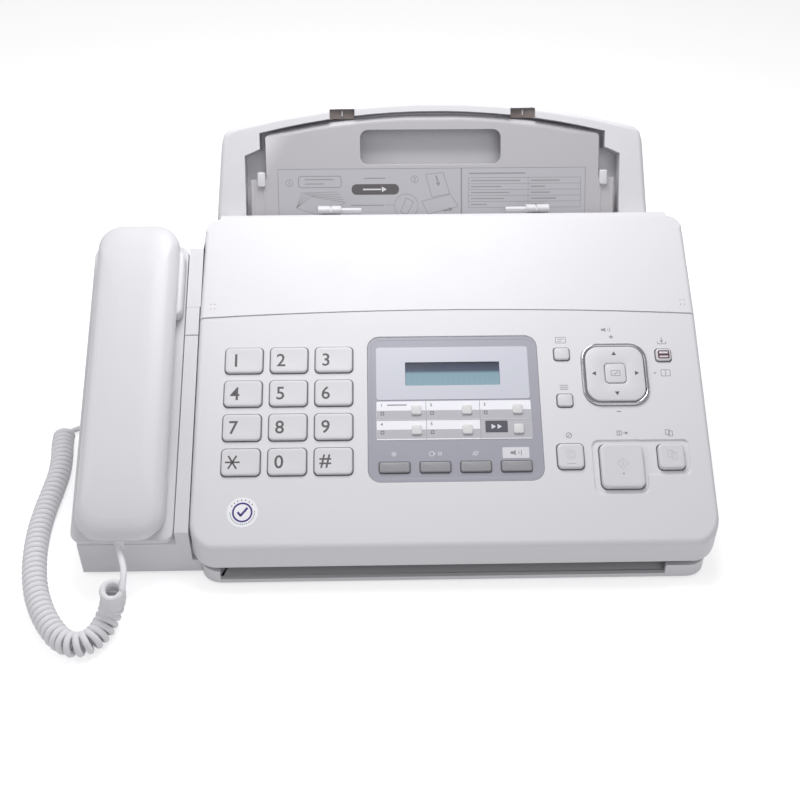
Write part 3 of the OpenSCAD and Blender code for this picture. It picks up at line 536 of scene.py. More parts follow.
def dished(bm, border, depth):
    """Sinks the middle of the highest face a little."""
    top = max(bm.faces, key=lambda f: (round(f.calc_center_median().z, 4), f.calc_area()))
    bmesh.ops.inset_region(bm, faces=[top], thickness=border, depth=0, use_even_offset=True)
    bmesh.ops.translate(bm, vec=(0, 0, -depth), verts=top.verts)
    return bm


def disc(radius, at=(0, 0), segments=32):
    bm = bmesh.new()
    bmesh.ops.create_circle(
        bm, cap_ends=True, segments=segments, radius=radius, matrix=Matrix.Translation((*at, 0))
    )
    return bm


def bar(x0, y0, x1, y1, width):
    """A flat line from one point to another."""
    bm = rounded_face(math.hypot(x1 - x0, y1 - y0), width, 0)
    turn = math.degrees(math.atan2(y1 - y0, x1 - x0))
    return moved(bm, ((x0 + x1) / 2, (y0 + y1) / 2, 0), turn)


def hollowed(bm, line):
    """Leaves a border of that width of every flat face."""
    faces = list(bm.faces)
    made = bmesh.ops.inset_individual(bm, faces=faces, thickness=line, depth=0, use_even_offset=True)
    border = set(made["faces"])
    bmesh.ops.delete(bm, geom=[f for f in bm.faces if f not in border], context="FACES")
    return bm


def outline(width, depth, line, at=(0, 0), radius=0.4):
    """A flat frame of that line width."""
    return moved(hollowed(rounded_face(width, depth, radius, segments=3), line), (*at, 0))


def ring(radius, line, at=(0, 0), segments=40):
    return moved(hollowed(disc(radius, segments=segments), line), (*at, 0))


def arrow_head(size, at, turn):
    """A triangle that points along X, turned."""
    return moved(moved(disc(size, segments=3), turn=turn - 90), (*at, 0))


def numeral(text, size, at=(0, 0), weight=0.012):
    """Flat figures of that height, centred on a point."""
    curve = bpy.data.curves.new("figures", "FONT")
    curve.body = text
    curve.size = size
    curve.offset = weight * size
    curve.align_x = "CENTER"
    curve.resolution_u = 3
    mesh = mesh_of(curve)
    bm = bmesh.new()
    bm.from_mesh(mesh)
    bpy.data.meshes.remove(mesh)
    bmesh.ops.remove_doubles(bm, verts=bm.verts, dist=1e-5)
    ends = [[op(v.co[k] for v in bm.verts) for op in (min, max)] for k in (0, 1)]
    bmesh.ops.translate(bm, vec=(-sum(ends[0]) / 2, -sum(ends[1]) / 2, 0), verts=bm.verts)
    bmesh.ops.scale(bm, vec=(size / (ends[1][1] - ends[1][0]),) * 2 + (1,), verts=bm.verts)
    return moved(bm, (*at, 0))


def printed(name, shapes, place, body, material, z=0.0, thick=0.03):
    """Flat shapes as a thin raised layer of ink at the height z of a surface."""
    bm = raised(joined(*shapes), thick)
    return piece(name, moved(bm, (0, 0, z)), body, material, place, smooth=False)


def turned(profile, segments=32):
    """A solid turned round the X axis from (x, radius) points; the first and last lie on the axis."""
    bm = bmesh.new()
    line = [bm.verts.new((x, r, 0)) for x, r in profile]
    edges = [bm.edges.new(pair) for pair in zip(line, line[1:])]
    bmesh.ops.spin(
        bm, geom=line + edges, cent=(0, 0, 0), axis=(1, 0, 0), angle=2 * math.pi, steps=segments,
        use_merge=True
    )
    bmesh.ops.remove_doubles(bm, verts=bm.verts, dist=1e-5)
    bmesh.ops.recalc_face_normals(bm, faces=bm.faces)
    return bm


def piece(name, bm, body, material, place=WHOLE, replaces=(), smooth=True, sharp=32.0):
    """A finished mesh in its place, riding on a CAD body."""
    bmesh.ops.transform(bm, matrix=place, verts=bm.verts)
    mesh = bpy.data.meshes.new(name)
    bm.to_mesh(mesh)
    bm.free()
    if mesh.has_custom_normals:
        mesh.attributes.remove(mesh.attributes["custom_normal"])
    if smooth:
        mesh.shade_smooth()
        mesh.set_sharp_from_angle(angle=math.radians(sharp))
    else:
        mesh.shade_flat()
    mesh.materials.append(finish(material))
    made = linked(name, mesh)
    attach(made, body)
    if replaces:
        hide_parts(*replaces)
    return made


def sharp_edges(bm, width, degrees=30.0):
    """Edges sharp enough to be rounded, between faces that reach well past the round."""

    def roomy(edge, face):
        a, b = (v.co for v in edge.verts)
        middle, along = (a + b) / 2, (b - a).normalized()
        reach = max((v.co - middle - along * (v.co - middle).dot(along)).length for v in face.verts)
        return reach > 2.2 * width

    def picked(edge):
        sharp = len(edge.link_faces) == 2 and edge.calc_face_angle(0) > math.radians(degrees)
        return sharp and all(roomy(edge, face) for face in edge.link_faces)

    return [edge for edge in bm.edges if picked(edge)]


def touching(edges):
    """The edges in groups that touch each other."""
    left, groups = set(edges), []
    while left:
        group = [left.pop()]
        for edge in group:
            near = {e for v in edge.verts for e in v.link_edges} & left
            left -= near
            group += near
        groups.append(group)
    return groups


def rounded(bm, edges, width, segments):
    """Rounds edges, group by group. A group whose round would stand off the surface is left as it is."""
    bm.edges.index_update()
    groups = [[edge.index for edge in group] for group in touching(edges)]
    tag = bm.edges.layers.int.new("group")
    bm.edges.ensure_lookup_table()
    for number, group in enumerate(groups, 1):
        for index in group:
            bm.edges[index][tag] = number
    surface = BVHTree.FromBMesh(bm)
    for number in range(1, len(groups) + 1):
        trial = bm.copy()
        tag = trial.edges.layers.int["group"]
        made = bevel(trial, [e for e in trial.edges if e[tag] == number], width, segments)
        if all(surface.find_nearest(v.co)[3] < 0.6 * width for v in made["verts"]):
            bm, trial = trial, bm
        trial.free()
    bm.edges.layers.int.remove(bm.edges.layers.int["group"])
    return bm


def cut_to(bm, envelope):
    """Keeps what lies inside an envelope."""
    kept, outer = (linked(name, bpy.data.meshes.new(name)) for name in ("kept", "outer"))
    for shown, shape in ((kept, bm), (outer, envelope)):
        shape.to_mesh(shown.data)
        shape.free()
    cut = kept.modifiers.new("cut", "BOOLEAN")
    cut.operation, cut.solver, cut.object = "INTERSECT", "EXACT", outer
    result = bmesh.new()
    result.from_object(kept, bpy.context.evaluated_depsgraph_get())
    for shown in (kept, outer):
        mesh = shown.data
        bpy.data.objects.remove(shown)
        bpy.data.meshes.remove(mesh)
    return result


def softened(node, material, width=None, segments=2, envelope=None, wide=None, wide_edge=None):
    """Stands for a CAD node with its sharp edges rounded as a moulding's are.

    An envelope trims it, and the edges that wide_edge picks get a wider round.
    """
    bm = bmesh.new()
    bm.from_mesh(frame["nodes"][node].data)
    bmesh.ops.remove_doubles(bm, verts=bm.verts, dist=2e-6)
    if envelope:
        bm = cut_to(bm, envelope)
    nearly_flat = math.radians(0.4)
    bmesh.ops.dissolve_limit(
        bm, angle_limit=nearly_flat, use_dissolve_boundaries=False, verts=bm.verts, edges=bm.edges,
        delimit=set()
    )
    if wide:
        bm = rounded(bm, [e for e in sharp_edges(bm, 0) if wide_edge(e)], wide, 6)
    width = width or sizes().edge_round
    bm = rounded(bm, sharp_edges(bm, width), width, segments)
    made = piece(
        node + "_finish", bm, frame["nodes"][node]["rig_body"], material, Matrix.Identity(4), (node,),
        sharp=52.0
    )
    made.modifiers.new("flat_faces", "WEIGHTED_NORMAL").keep_sharp = True
    return made


def coated(node, material):
    """Gives a CAD node its finish."""
    shown = frame["nodes"][node]
    for slot in shown.material_slots:
        slot.material = finish(material)
    if not shown.material_slots:
        shown.data.materials.append(finish(material))
    return shown


# --- Stage ---


WHITE = (1, 1, 1, 1)


def emission_floor(name, base, glow):
    """A pale diffuse surface that shows a little brighter to the camera and in reflections."""
    material, tree, bsdf = shader(name, Roughness=0.9)
    place = tree.nodes.new("ShaderNodeTexCoord")
    cloud = noise(tree, place.outputs["Object"], 1.5, 2.0)
    cloudy = mix_colour(tree, math_node(tree, "MULTIPLY", cloud, 0.02), base, (0.7, 0.7, 0.7))
    tree.links.new(cloudy, bsdf.inputs["Base Color"])
    bsdf.inputs["Emission Color"].default_value = WHITE
    ray = tree.nodes.new("ShaderNodeLightPath").outputs
    direct = math_node(tree, "MAXIMUM", ray["Is Camera Ray"], ray["Is Glossy Ray"])
    seen = math_node(tree, "MAXIMUM", direct, ray["Is Transmission Ray"])
    tree.links.new(math_node(tree, "MULTIPLY", seen, glow), bsdf.inputs["Emission Strength"])
    return material


CAMERA_AT = (-0.00779, -0.53674, 0.46708)
CAMERA_DOWN, CAMERA_YAW, CAMERA_ROLL = 39.23, 1.33, 0.17  # degrees
FOCAL_PIXELS, IMAGE_PIXELS, SENSOR_MM = 1101.39, 800, 36.0

# Each lamp's place, the point it faces, its diameter and its power
LAMPS = {
    "lamp_above": ((0.0, 0.10, 0.60), (0, 0, 0.06), 0.34, 2.2),
    "lamp_left": ((-1.0, -0.15, 0.9), (0, 0, 0.05), 0.6, 1.8),
    "lamp_front": ((0.35, -1.3, 1.0), (0, 0, 0.03), 1.2, 3.35),
}


class FAX_OT_stage(bpy.types.Operator):
    """Sets the camera, the floor, the lamps and the world"""

    bl_idname = "fax.stage"
    bl_label = "Stage"

    def execute(self, context):
        scene = context.scene
        down, yaw, roll = (math.radians(angle) for angle in (CAMERA_DOWN, CAMERA_YAW, CAMERA_ROLL))
        forward = Vector((math.sin(yaw) * math.cos(down), math.cos(yaw) * math.cos(down), -math.sin(down)))
        level = Vector((math.cos(yaw), -math.sin(yaw), 0))
        upright = level.cross(forward)
        right = math.cos(roll) * level + math.sin(roll) * upright
        up = math.cos(roll) * upright - math.sin(roll) * level
        lens = bpy.data.cameras.new("camera")
        lens.sensor_width = SENSOR_MM
        lens.lens = FOCAL_PIXELS * SENSOR_MM / IMAGE_PIXELS
        camera = linked("camera", lens)
        axes = Matrix((right, up, -forward)).transposed()
        camera.matrix_world = Matrix.Translation(CAMERA_AT) @ axes.to_4x4()
        scene.camera = camera
        scene.view_settings.view_transform = "Standard"

        bm = bmesh.new()
        bmesh.ops.create_grid(bm, x_segments=8, y_segments=8, size=4.0)
        mesh = bpy.data.meshes.new("floor")
        bm.to_mesh(mesh)
        bm.free()
        mesh.materials.append(emission_floor("floor_paper", (0.80, 0.80, 0.80), 0.56))
        floor = linked("floor", mesh)

        for name, (place, target, size, power) in LAMPS.items():
            light = bpy.data.lights.new(name, "AREA")
            light.shape, light.size, light.energy = "DISK", size, power
            aim = (Vector(target) - Vector(place)).to_track_quat("-Z", "Y").to_matrix()
            linked(name, light).matrix_world = Matrix.Translation(place) @ aim.to_4x4()

        world = bpy.data.worlds.new("studio")
        scene.world = world
        world.use_nodes = True
        tree = world.node_tree
        tree.nodes.clear()
        ray = tree.nodes.new("ShaderNodeLightPath").outputs
        seen = math_node(tree, "MAXIMUM", ray["Is Camera Ray"], ray["Is Transmission Ray"])
        blend, end = tree.nodes.new("ShaderNodeMixShader"), tree.nodes.new("ShaderNodeOutputWorld")
        tree.links.new(seen, blend.inputs[0])
        for slot, sky, strength in ((1, (0.97, 0.965, 1.0, 1), 0.36), (2, WHITE, 1.0)):
            background = tree.nodes.new("ShaderNodeBackground")
            background.inputs["Color"].default_value = sky
            background.inputs["Strength"].default_value = strength
            tree.links.new(background.outputs[0], blend.inputs[slot])
        tree.links.new(blend.outputs[0], end.inputs[0])
        return {"FINISHED"}


# --- Cord ---

# The cord's way from the handset to the base, in millimetres
LEAD_SET_ROUTE = (
    (-149, 3.5, 34.3), (-148.9, 1.6, 32.4), (-148, -2.6, 31.2), (-146, -8.6, 31.2), (-143.9, -15, 32.4),
    (-142.6, -21, 33),
)
COIL_ROUTE = (
    (-147.7, -28.2, 30.4), (-148.7, -25.4, 23.6), (-150.3, -24, 16.2), (-152.6, -27.4, 10),
    (-155.8, -35.6, 7.2), (-161, -42.6, 6.8), (-168.4, -44.6, 6.8), (-176.2, -40.6, 6.8),
    (-183.4, -32.4, 6.8), (-190, -22, 6.8), (-195.6, -10, 6.8), (-200, 4, 6.8), (-203.2, 20, 6.8),
    (-205, 37, 6.8), (-205.2, 54, 6.8), (-204.4, 70, 6.8), (-204, 86, 6.8), (-205.4, 100, 6.8),
    (-207.6, 112, 6.8), (-208.6, 122, 6.8),
)
LEAD_BASE_ROUTE = (
    (-208.6, 122.8, 4), (-207, 129, 3), (-201, 133, 3), (-193, 133.6, 4.5), (-185, 132, 8.5),
    (-180, 131, 11.8), (-175, 131, 12),
)
LEAD_STEP = 0.0012
PER_TURN = 16  # points of the wire's line in one turn of the coil


def between(a, b, c, d, t):
    """A point on the smooth curve from b to c, which a and d steer."""
    return 0.5 * (
        2 * b + t * (c - a) + t * t * (2 * a - 5 * b + 4 * c - d) + t ** 3 * (3 * b - a - 3 * c + d)
    )


def smooth_route(points, step):
    """Points every step along the smooth curve through a route given in metres."""
    last = len(points) - 1
    fine = []
    for i in range(last):
        steering = points[max(i - 1, 0)], points[i], points[i + 1], points[min(i + 2, last)]
        fine += [between(*steering, k / 24) for k in range(24)]
    fine.append(points[-1])
    even, gone = [fine[0]], 0.0
    for a, b in zip(fine, fine[1:]):
        span = (b - a).length
        while gone + span >= step:
            a = a.lerp(b, (step - gone) / span)
            even.append(a)
            span, gone = (b - a).length, 0.0
        gone += span
    return even


def placed(route):
    return [SEAT @ (Vector(p) * MM) for p in route]


def coil_points(route, radius):
    """The wire's own line as it winds round a route, starting on the right of its first turn."""
    points = []
    side = Vector((1, 0, 0))
    steps = len(route) - 1
    for i, here in enumerate(route):
        ahead = (route[min(i + 1, steps)] - route[max(i - 1, 0)]).normalized()
        side = (side - ahead * side.dot(ahead)).normalized()
        angle = 2 * math.pi * i / PER_TURN
        points.append(here + radius * (math.cos(angle) * side + math.sin(angle) * ahead.cross(side)))
    return points


class FAX_OT_cord(bpy.types.Operator):
    """Makes the curly cord from the base's socket to the handset, with its plugs"""

    bl_idname = "fax.cord"
    bl_label = "Cord"

    def execute(self, context):
        size = sizes()
        winding = (size.coil_across - size.wire) / 2
        wound = coil_points(smooth_route(placed(COIL_ROUTE), size.coil_pitch / PER_TURN), winding)
        to_set = smooth_route([*placed(LEAD_SET_ROUTE), *wound[:3]], LEAD_STEP)[:-1]
        to_base = smooth_route([wound[-3], wound[-1], *placed(LEAD_BASE_ROUTE)], LEAD_STEP)[4:]
        path = [*reversed(to_base), *reversed(wound), *reversed(to_set)]
        curve = bpy.data.curves.new("handset_cord", "CURVE")
        curve.dimensions = "3D"
        curve.bevel_depth = size.wire / 2
        curve.bevel_resolution = 3
        curve.use_fill_caps = True
        line = curve.splines.new("POLY")
        line.points.add(len(path) - 1)
        for point, place in zip(line.points, path):
            point.co = (*place, 1)
        mesh = mesh_of(curve)
        mesh.name = "handset_cord"
        mesh.shade_smooth()
        mesh.materials.clear()
        mesh.materials.append(finish("cord_vinyl"))
        cord = linked("handset_cord", mesh)
        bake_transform(cord)
        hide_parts("cord_coil", "cord_lead_handset", "cord_lead_base")
        plug_at = Matrix.Translation((-0.1748, 0.131, 0.012)) @ rotation(-90, "Y")
        plug_shape = joined(slab(9.6, 6.4, 1.2, -3.6, 4.4, 0.6, 0.6), slab(5.6, 4.8, 1.6, 3.4, 9.6, 1.2))
        plug = piece("cord_plug", plug_shape, "root", "cord_vinyl", SEAT @ plug_at @ IN_MM)
        sleeve_at = Matrix.Translation((-0.149, 0.0036, 0.0345)) @ rotation(-90, "Z") @ rotation(71, "Y")
        sleeve_line = [(-1.2, 0), (-1.2, 3.1), (0, 3.3), (1.0, 2.9), (5.5, 2.3), (6.0, 2.0), (6.0, 0)]
        sleeve = piece("cord_sleeve", turned(sleeve_line), "handset", "cord_vinyl", SEAT @ sleeve_at @ IN_MM)
        return {"FINISHED"}


# --- Covers ---

LEFT_X, RIGHT_X = -112.5, 177.5  # the back cover's sides
SLACK = 0.02  # how far an envelope stands off the surfaces that it leaves as they are


def envelope(flat, low, high, place, rim, rim_edge, corner=0.0, corner_edge=None):
    """A solid drawn up from a flat outline, with its picked corner edges and then its rim edges rounded."""
    bm = bmesh.new()
    bm.faces.new([bm.verts.new((*point, low)) for point in flat])
    bm = raised(bm, high - low)
    if corner:
        bevel(bm, [e for e in bm.edges if corner_edge(e)], corner, 20)
    bevel(bm, [e for e in bm.edges if rim_edge(e)], rim, 6)
    bmesh.ops.transform(bm, matrix=place, verts=bm.verts)
    return bm


FRONT_CORNER = 14.0  # radius of the front cover's corners as seen from above


def front_envelope():
    """The front cover's outside, its corners rounded as seen from above and its rim all round the panel."""
    lean = math.radians(PANEL_LEAN)
    foot = PANEL_FOOT + SLACK / math.cos(lean)
    deep, below = 140, -30  # well past the cover's back and its underside
    top = foot + deep * math.tan(lean)
    side_view = [(-SLACK, below), (-SLACK, foot - SLACK * math.tan(lean)), (deep, top), (deep, below)]
    stand = rotation(90, "Z") @ rotation(90, "X")

    def front_corner(edge):
        a, b = (v.co for v in edge.verts)
        return a.x < 0 and b.x < 0 and abs(a.z - b.z) < SLACK

    def round_panel(edge):
        flat, steep = sorted((f.normal for f in edge.link_faces), key=lambda n: abs(n.y), reverse=True)
        return flat.y > 0.5 and abs(steep.y) < 0.1

    place, rim = WHOLE @ stand, sizes().cover_round / MM
    return envelope(
        side_view, LEFT_X - SLACK, RIGHT_X + SLACK, place, rim, round_panel, FRONT_CORNER, front_corner
    )


def back_rim(edge):
    """Whether an edge is where the back cover's top panel meets its sides."""
    middle = (edge.verts[0].co + edge.verts[1].co) / 2
    at_side = min(abs(middle.x - LEFT_X * MM), abs(middle.x - RIGHT_X * MM)) < 0.0003
    under_top = edge.is_convex and max(f.normal.z for f in edge.link_faces) > 0.5
    return at_side and under_top and middle.z > 0.098 and middle.y < 0.052


def dot_marks():
    """Small registration dots moulded in the back cover's front corners, two rows of two."""
    places = [(x + dx, 3.6 + dy) for x in (-105.1, 170.9) for dx in (-1.1, 1.1) for dy in (-1.5, 1.5)]
    dots = [disc(0.45, place, 12) for place in places]
    return printed("cover_marks", dots, TOP, "back_cover", "mark_ink", z=-0.02, thick=0.05)


class FAX_OT_covers(bpy.types.Operator):
    """Finishes the two covers, the base and the plate under it"""

    bl_idname = "fax.covers"
    bl_label = "Covers and base"

    def execute(self, context):
        softened("front_cover", "housing", envelope=front_envelope())
        softened("back_cover", "housing", wide=sizes().cover_round, wide_edge=back_rim)
        softened("base_cabinet", "housing", width=0.0005)
        coated("bottom_plate", "zinc_sheet")
        dot_marks()
        low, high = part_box("bottom_plate")
        inset = 0.008
        profile = [(0, 0), (0, 2.9), (0.35, 2.8), (0.75, 2.0), (0.8, 0)]
        heads = []
        for x in (low.x + inset, (low.x + high.x) / 2, high.x - inset):
            for y in (low.y + inset, high.y - inset):
                head = moved(turned(profile, 20), turn=90, axis="Y")
                heads.append(moved(head, (x / MM, y / MM + HALF_DEPTH, low.z / MM + 0.05)))
        piece("base_screws", joined(*heads), "root", "turned_steel")
        return {"FINISHED"}


# --- Keys ---


CAP_INSET = 0.28  # how much smaller than its opening's nominal size a cap is drawn, all round
KEY_GAP = 0.5  # how much larger than that size the opening is, all round
FLANGE = 0.8  # how far a key's flange reaches past its opening's nominal size

# Sizes of a kind of key: width, depth, corner radius and height
FIGURE_KEY = (21.6, 15.8, 2.4, 1.7)
TOUCH_KEY = (6.2, 6.2, 1.0, 0.9)
FUNCTION_KEY = (17.2, 6.4, 1.0, 0.8)
SMALL_KEY = (9.0, 7.8, 1.6, 1.5)
LARGE_KEY = (15.0, 15.0, 2.6, 2.1)


def key_table():
    """Every key but the navigation pad: its place on the panel and its sizes."""
    table = {node: (COLUMNS[i % 3], ROWS[i // 3], *FIGURE_KEY) for i, node in enumerate(NUMBER_KEYS)}
    table |= {f"one_touch_key_{i + 1}": (TOUCH_X[i % 3], TOUCH_Y[i // 3], *TOUCH_KEY) for i in range(6)}
    table |= {f"function_key_{i + 1}": (x, FUNCTION_Y, *FUNCTION_KEY) for i, x in enumerate(FUNCTION_X)}
    return table | {
        "caller_id_key": (97.2, 111.6, *SMALL_KEY),
        "menu_key": (97.2, 83.0, *SMALL_KEY),
        "auto_answer_key": (156.0, 110.3, *SMALL_KEY),
        "stop_key": (98.0, 49.6, *LARGE_KEY),
        "copy_key": (154.4, 48.8, *LARGE_KEY),
        "start_key": (126.4, 43.6, 24.4, 26.0, 3.4, 2.4),
    }


def key_piece(node, material="key_cap", top_round=0.7, dish=0.0):
    """A key's cap with its rounded top, standing on its flange."""
    x, y, width, depth, radius, height = key_table()[node]
    cap = slab(width - 2 * CAP_INSET, depth - 2 * CAP_INSET, radius, -2.9, height, top_round)
    if dish:
        dished(cap, 1.4, dish)
    foot = slab(width + 2 * FLANGE, depth + 2 * FLANGE, radius + FLANGE, -3.8, -2.8)
    shape = moved(joined(cap, foot), (x, y, 0))
    return piece(node + "_cap", shape, frame["nodes"][node]["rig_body"], material, PANEL, (node,), sharp=50.0)


def gap_shade_top(node):
    """How high the rubber sheet, coloured dark as painted shadow, shows in the gap round a key."""
    if node.startswith(("one_touch", "function")):
        return -0.8
    return -1.3 if node.startswith(("start", "copy")) else -0.15


def key_gap_shade():
    """The real rubber sheet's edge in the gap round every key, coloured dark as painted shadow of the gap."""
    outer, inner = 2 * KEY_GAP - 0.06, 2 * CAP_INSET - 0.08
    frames = []
    for node, (x, y, width, depth, radius, _) in key_table().items():
        opening = (width + outer, depth + outer, radius + KEY_GAP)
        cap = (width - inner, depth - inner, radius)
        frames.append(moved(framed(*opening, *cap, -2.2, gap_shade_top(node), 0), (x, y, 0)))
    # dark rubber frames in the key gaps: painted shadow
    return piece("key_gap_shade", joined(*frames), "front_cover", "gap_shade_rubber", PANEL, smooth=False)


def star_figure(at):
    """An asterisk of three bars."""
    x, y = at
    slanted = [bar(x - dx, y - 3.8, x + dx, y + 3.8, 1.0) for dx in (-2.3, 2.3)]
    return [bar(x - 4.1, y, x + 4.1, y, 1.0), *slanted]


class FAX_OT_number_keys(bpy.types.Operator):
    """Makes the twelve number keys with their figures"""

    bl_idname = "fax.number_keys"
    bl_label = "Number keys"

    def execute(self, context):
        for i, node in enumerate(NUMBER_KEYS):
            key_piece(node, dish=0.12)
            at = (COLUMNS[i % 3] - 4.5, ROWS[i // 3] - 0.2)
            shapes = star_figure(at) if NUMERALS[i] == "*" else [numeral(NUMERALS[i], 7.8, at)]
            printed(node + "_figure", shapes, PANEL, node, "ink", z=1.56)
        key_gap_shade()
        return {"FINISHED"}


def marks(name, shapes, material="soft_ink", z=0.0):
    """Ink on the control panel, or at the height z from it."""
    return printed(name, shapes, PANEL, "front_cover", material, z=z - 0.01, thick=0.04)


class FAX_OT_command_keys(bpy.types.Operator):
    """Makes the small keys, the stop, start and copy keys and the pictures beside them"""

    bl_idname = "fax.command_keys"
    bl_label = "Command keys"

    def execute(self, context):
        for node in ("caller_id_key", "menu_key", "auto_answer_key"):
            key_piece(node)
        window = slab(6.8, 5.2, 1.0, 1.3, 1.56, 0.1, at=(156.0, 110.3))
        piece("auto_answer_window", window, "auto_answer_key", "lamp_window", PANEL)
        bars = [bar(153.5, 111.5, 158.5, 111.5, 1.2), bar(153.5, 109.0, 158.5, 109.0, 0.9)]
        printed("auto_answer_bars", bars, PANEL, "auto_answer_key", "pale_ink", z=1.55)

        for node in ("stop_key", "copy_key", "start_key"):
            key_piece(node, top_round=1.1, dish=0.12)
        rings = [ring(2.7, 0.28, (98.0, 50.4)), ring(1.4, 0.24, (98.0, 50.4))]
        printed("stop_key_symbol", rings, PANEL, "stop_key", "relief", z=1.97, thick=0.09)
        stripe = bar(95.6, 45.6, 100.4, 45.6, 0.9)
        printed("stop_key_bar", [stripe], PANEL, "stop_key", "pale_ink", z=1.97, thick=0.25)
        diamond = [moved(outline(4.6, 4.6, 0.3, radius=0.3), turn=45), bar(0, -1.3, 0, 1.3, 0.4)]
        shapes = [moved(shape, (126.4, 44.6, 0)) for shape in diamond]
        printed("start_key_symbol", shapes, PANEL, "start_key", "relief", z=2.27, thick=0.09)
        lamp = disc(0.45, (126.4, 38.8), 16)
        printed("start_key_lamp", [lamp], PANEL, "start_key", "soft_ink", z=2.27, thick=0.1)
        sheets = [outline(3.2, 4.0, 0.26, (153.6, 50.0)), outline(3.2, 4.0, 0.26, (155.6, 48.8))]
        printed("copy_key_symbol", sheets, PANEL, "copy_key", "relief", z=1.97, thick=0.09)

        signs = [
            bar(125.6, 122.3, 128.0, 122.3, 0.42), bar(126.8, 121.1, 126.8, 123.5, 0.42),
            bar(126.2, 76.1, 128.6, 76.1, 0.42), bar(149.4, 99.4, 151.0, 99.4, 0.42),
        ]
        marks("volume_signs", signs, material="ink")
        pictures = {
            "volume_picture": [
                bar(121.4, 126.9, 122.6, 126.9, 1.3), arrow_head(1.5, (123.2, 126.9), 180),
                bar(125.4, 126.0, 125.4, 127.8, 0.32), bar(126.4, 125.6, 126.4, 128.2, 0.32),
            ],
            "menu_picture": [bar(94.8, 91.2 + d, 99.6, 91.2 + d, 0.42) for d in (-1.2, 0, 1.2)],
            "caller_picture": [
                outline(6.2, 4.0, 0.34, (97.2, 120.6)), bar(95.4, 121.2, 99.0, 121.2, 0.36),
                bar(95.4, 119.9, 97.6, 119.9, 0.36),
            ],
            "answer_picture": [
                bar(156.0, 119.6, 156.0, 121.8, 0.42), arrow_head(1.1, (156.0, 119.2), -90),
                bar(153.6, 117.6, 158.4, 117.6, 0.4), bar(153.6, 117.6, 153.6, 119.0, 0.4),
                bar(158.4, 117.6, 158.4, 119.0, 0.4),
            ],
            "phone_book_picture": [
                outline(5.6, 4.2, 0.34, (156.4, 99.4)), bar(156.4, 97.5, 156.4, 101.3, 0.34)
            ],
            "stop_picture": [ring(1.7, 0.4, (98.0, 62.2)), bar(96.9, 61.1, 99.1, 63.3, 0.4)],
            "start_picture": [
                outline(2.8, 2.8, 0.4, (126.4, 63.2), 0.1), bar(126.4, 62.3, 126.4, 64.1, 0.4),
                arrow_head(1.2, (130.4, 63.2), 0), bar(128.6, 63.2, 130.0, 63.2, 0.4),
            ],
            "copy_picture": [outline(2.6, 3.4, 0.36, (153.7, 63.4)), outline(2.6, 3.4, 0.36, (155.3, 62.6))],
        }
        for name, shapes in pictures.items():
            marks(name, shapes)
        return {"FINISHED"}


class FAX_OT_navigation(bpy.types.Operator):
    """Makes the chrome ring, the four-way pad with its arrows and the set key"""

    bl_idname = "fax.navigation"
    bl_label = "Navigation pad"

    def execute(self, context):
        x, y = NAVIGATION
        place = PANEL @ Matrix.Translation((x, y, 0))
        rim = framed(38.0, 38.0, 10.0, 34.3, 34.3, 8.3, -0.8, 1.6, 0.75)
        piece("nav_ring_chrome", rim, "front_cover", "chrome", place, ("nav_ring",), sharp=60.0)
        pad = framed(33.6, 33.6, 8.0, 12.2, 12.2, 2.3, -2.9, 2.1, 0.9)
        foot = framed(35.2, 35.2, 8.8, 12.6, 12.6, 2.3, -3.8, -2.8, 0)
        piece("nav_pad", joined(pad, foot), "nav_key", "key_cap", place, ("nav_key",), sharp=50.0)
        ways = (((0, 12.0), 90), ((0, -12.0), -90), ((-12.0, 0), 180), ((12.0, 0), 0))
        arrows = [arrow_head(1.6, at, turn) for at, turn in ways]
        printed("nav_arrows", arrows, place, "nav_key", "ink", z=2.08)
        cap = slab(11.6, 11.6, 2.0, -5.7, 2.3, 0.5)
        foot = slab(13.2, 13.2, 2.8, -6.6, -5.6)
        piece("set_key_cap", joined(cap, foot), "set_key", "key_cap", place, ("set_key",), sharp=50.0)
        tick = [bar(-1.2, 0.1, -0.3, -0.8, 0.4), bar(-0.4, -0.8, 1.3, 0.9, 0.4)]
        printed("set_key_symbol", [outline(5.4, 3.6, 0.36), *tick], place, "set_key", "soft_ink", z=2.28)
        return {"FINISHED"}


# --- Display ---


BEZEL_FACE = -0.45  # what lies above this is the bezel's rim
BEZEL_SUNK, BEZEL_RELIEF = -0.48, 0.2  # where the rim is sunk to, and what is left of its height
CARD_COLUMNS = ((-9.9, 18.0), (18.2, 48.4), (48.6, 77.5))


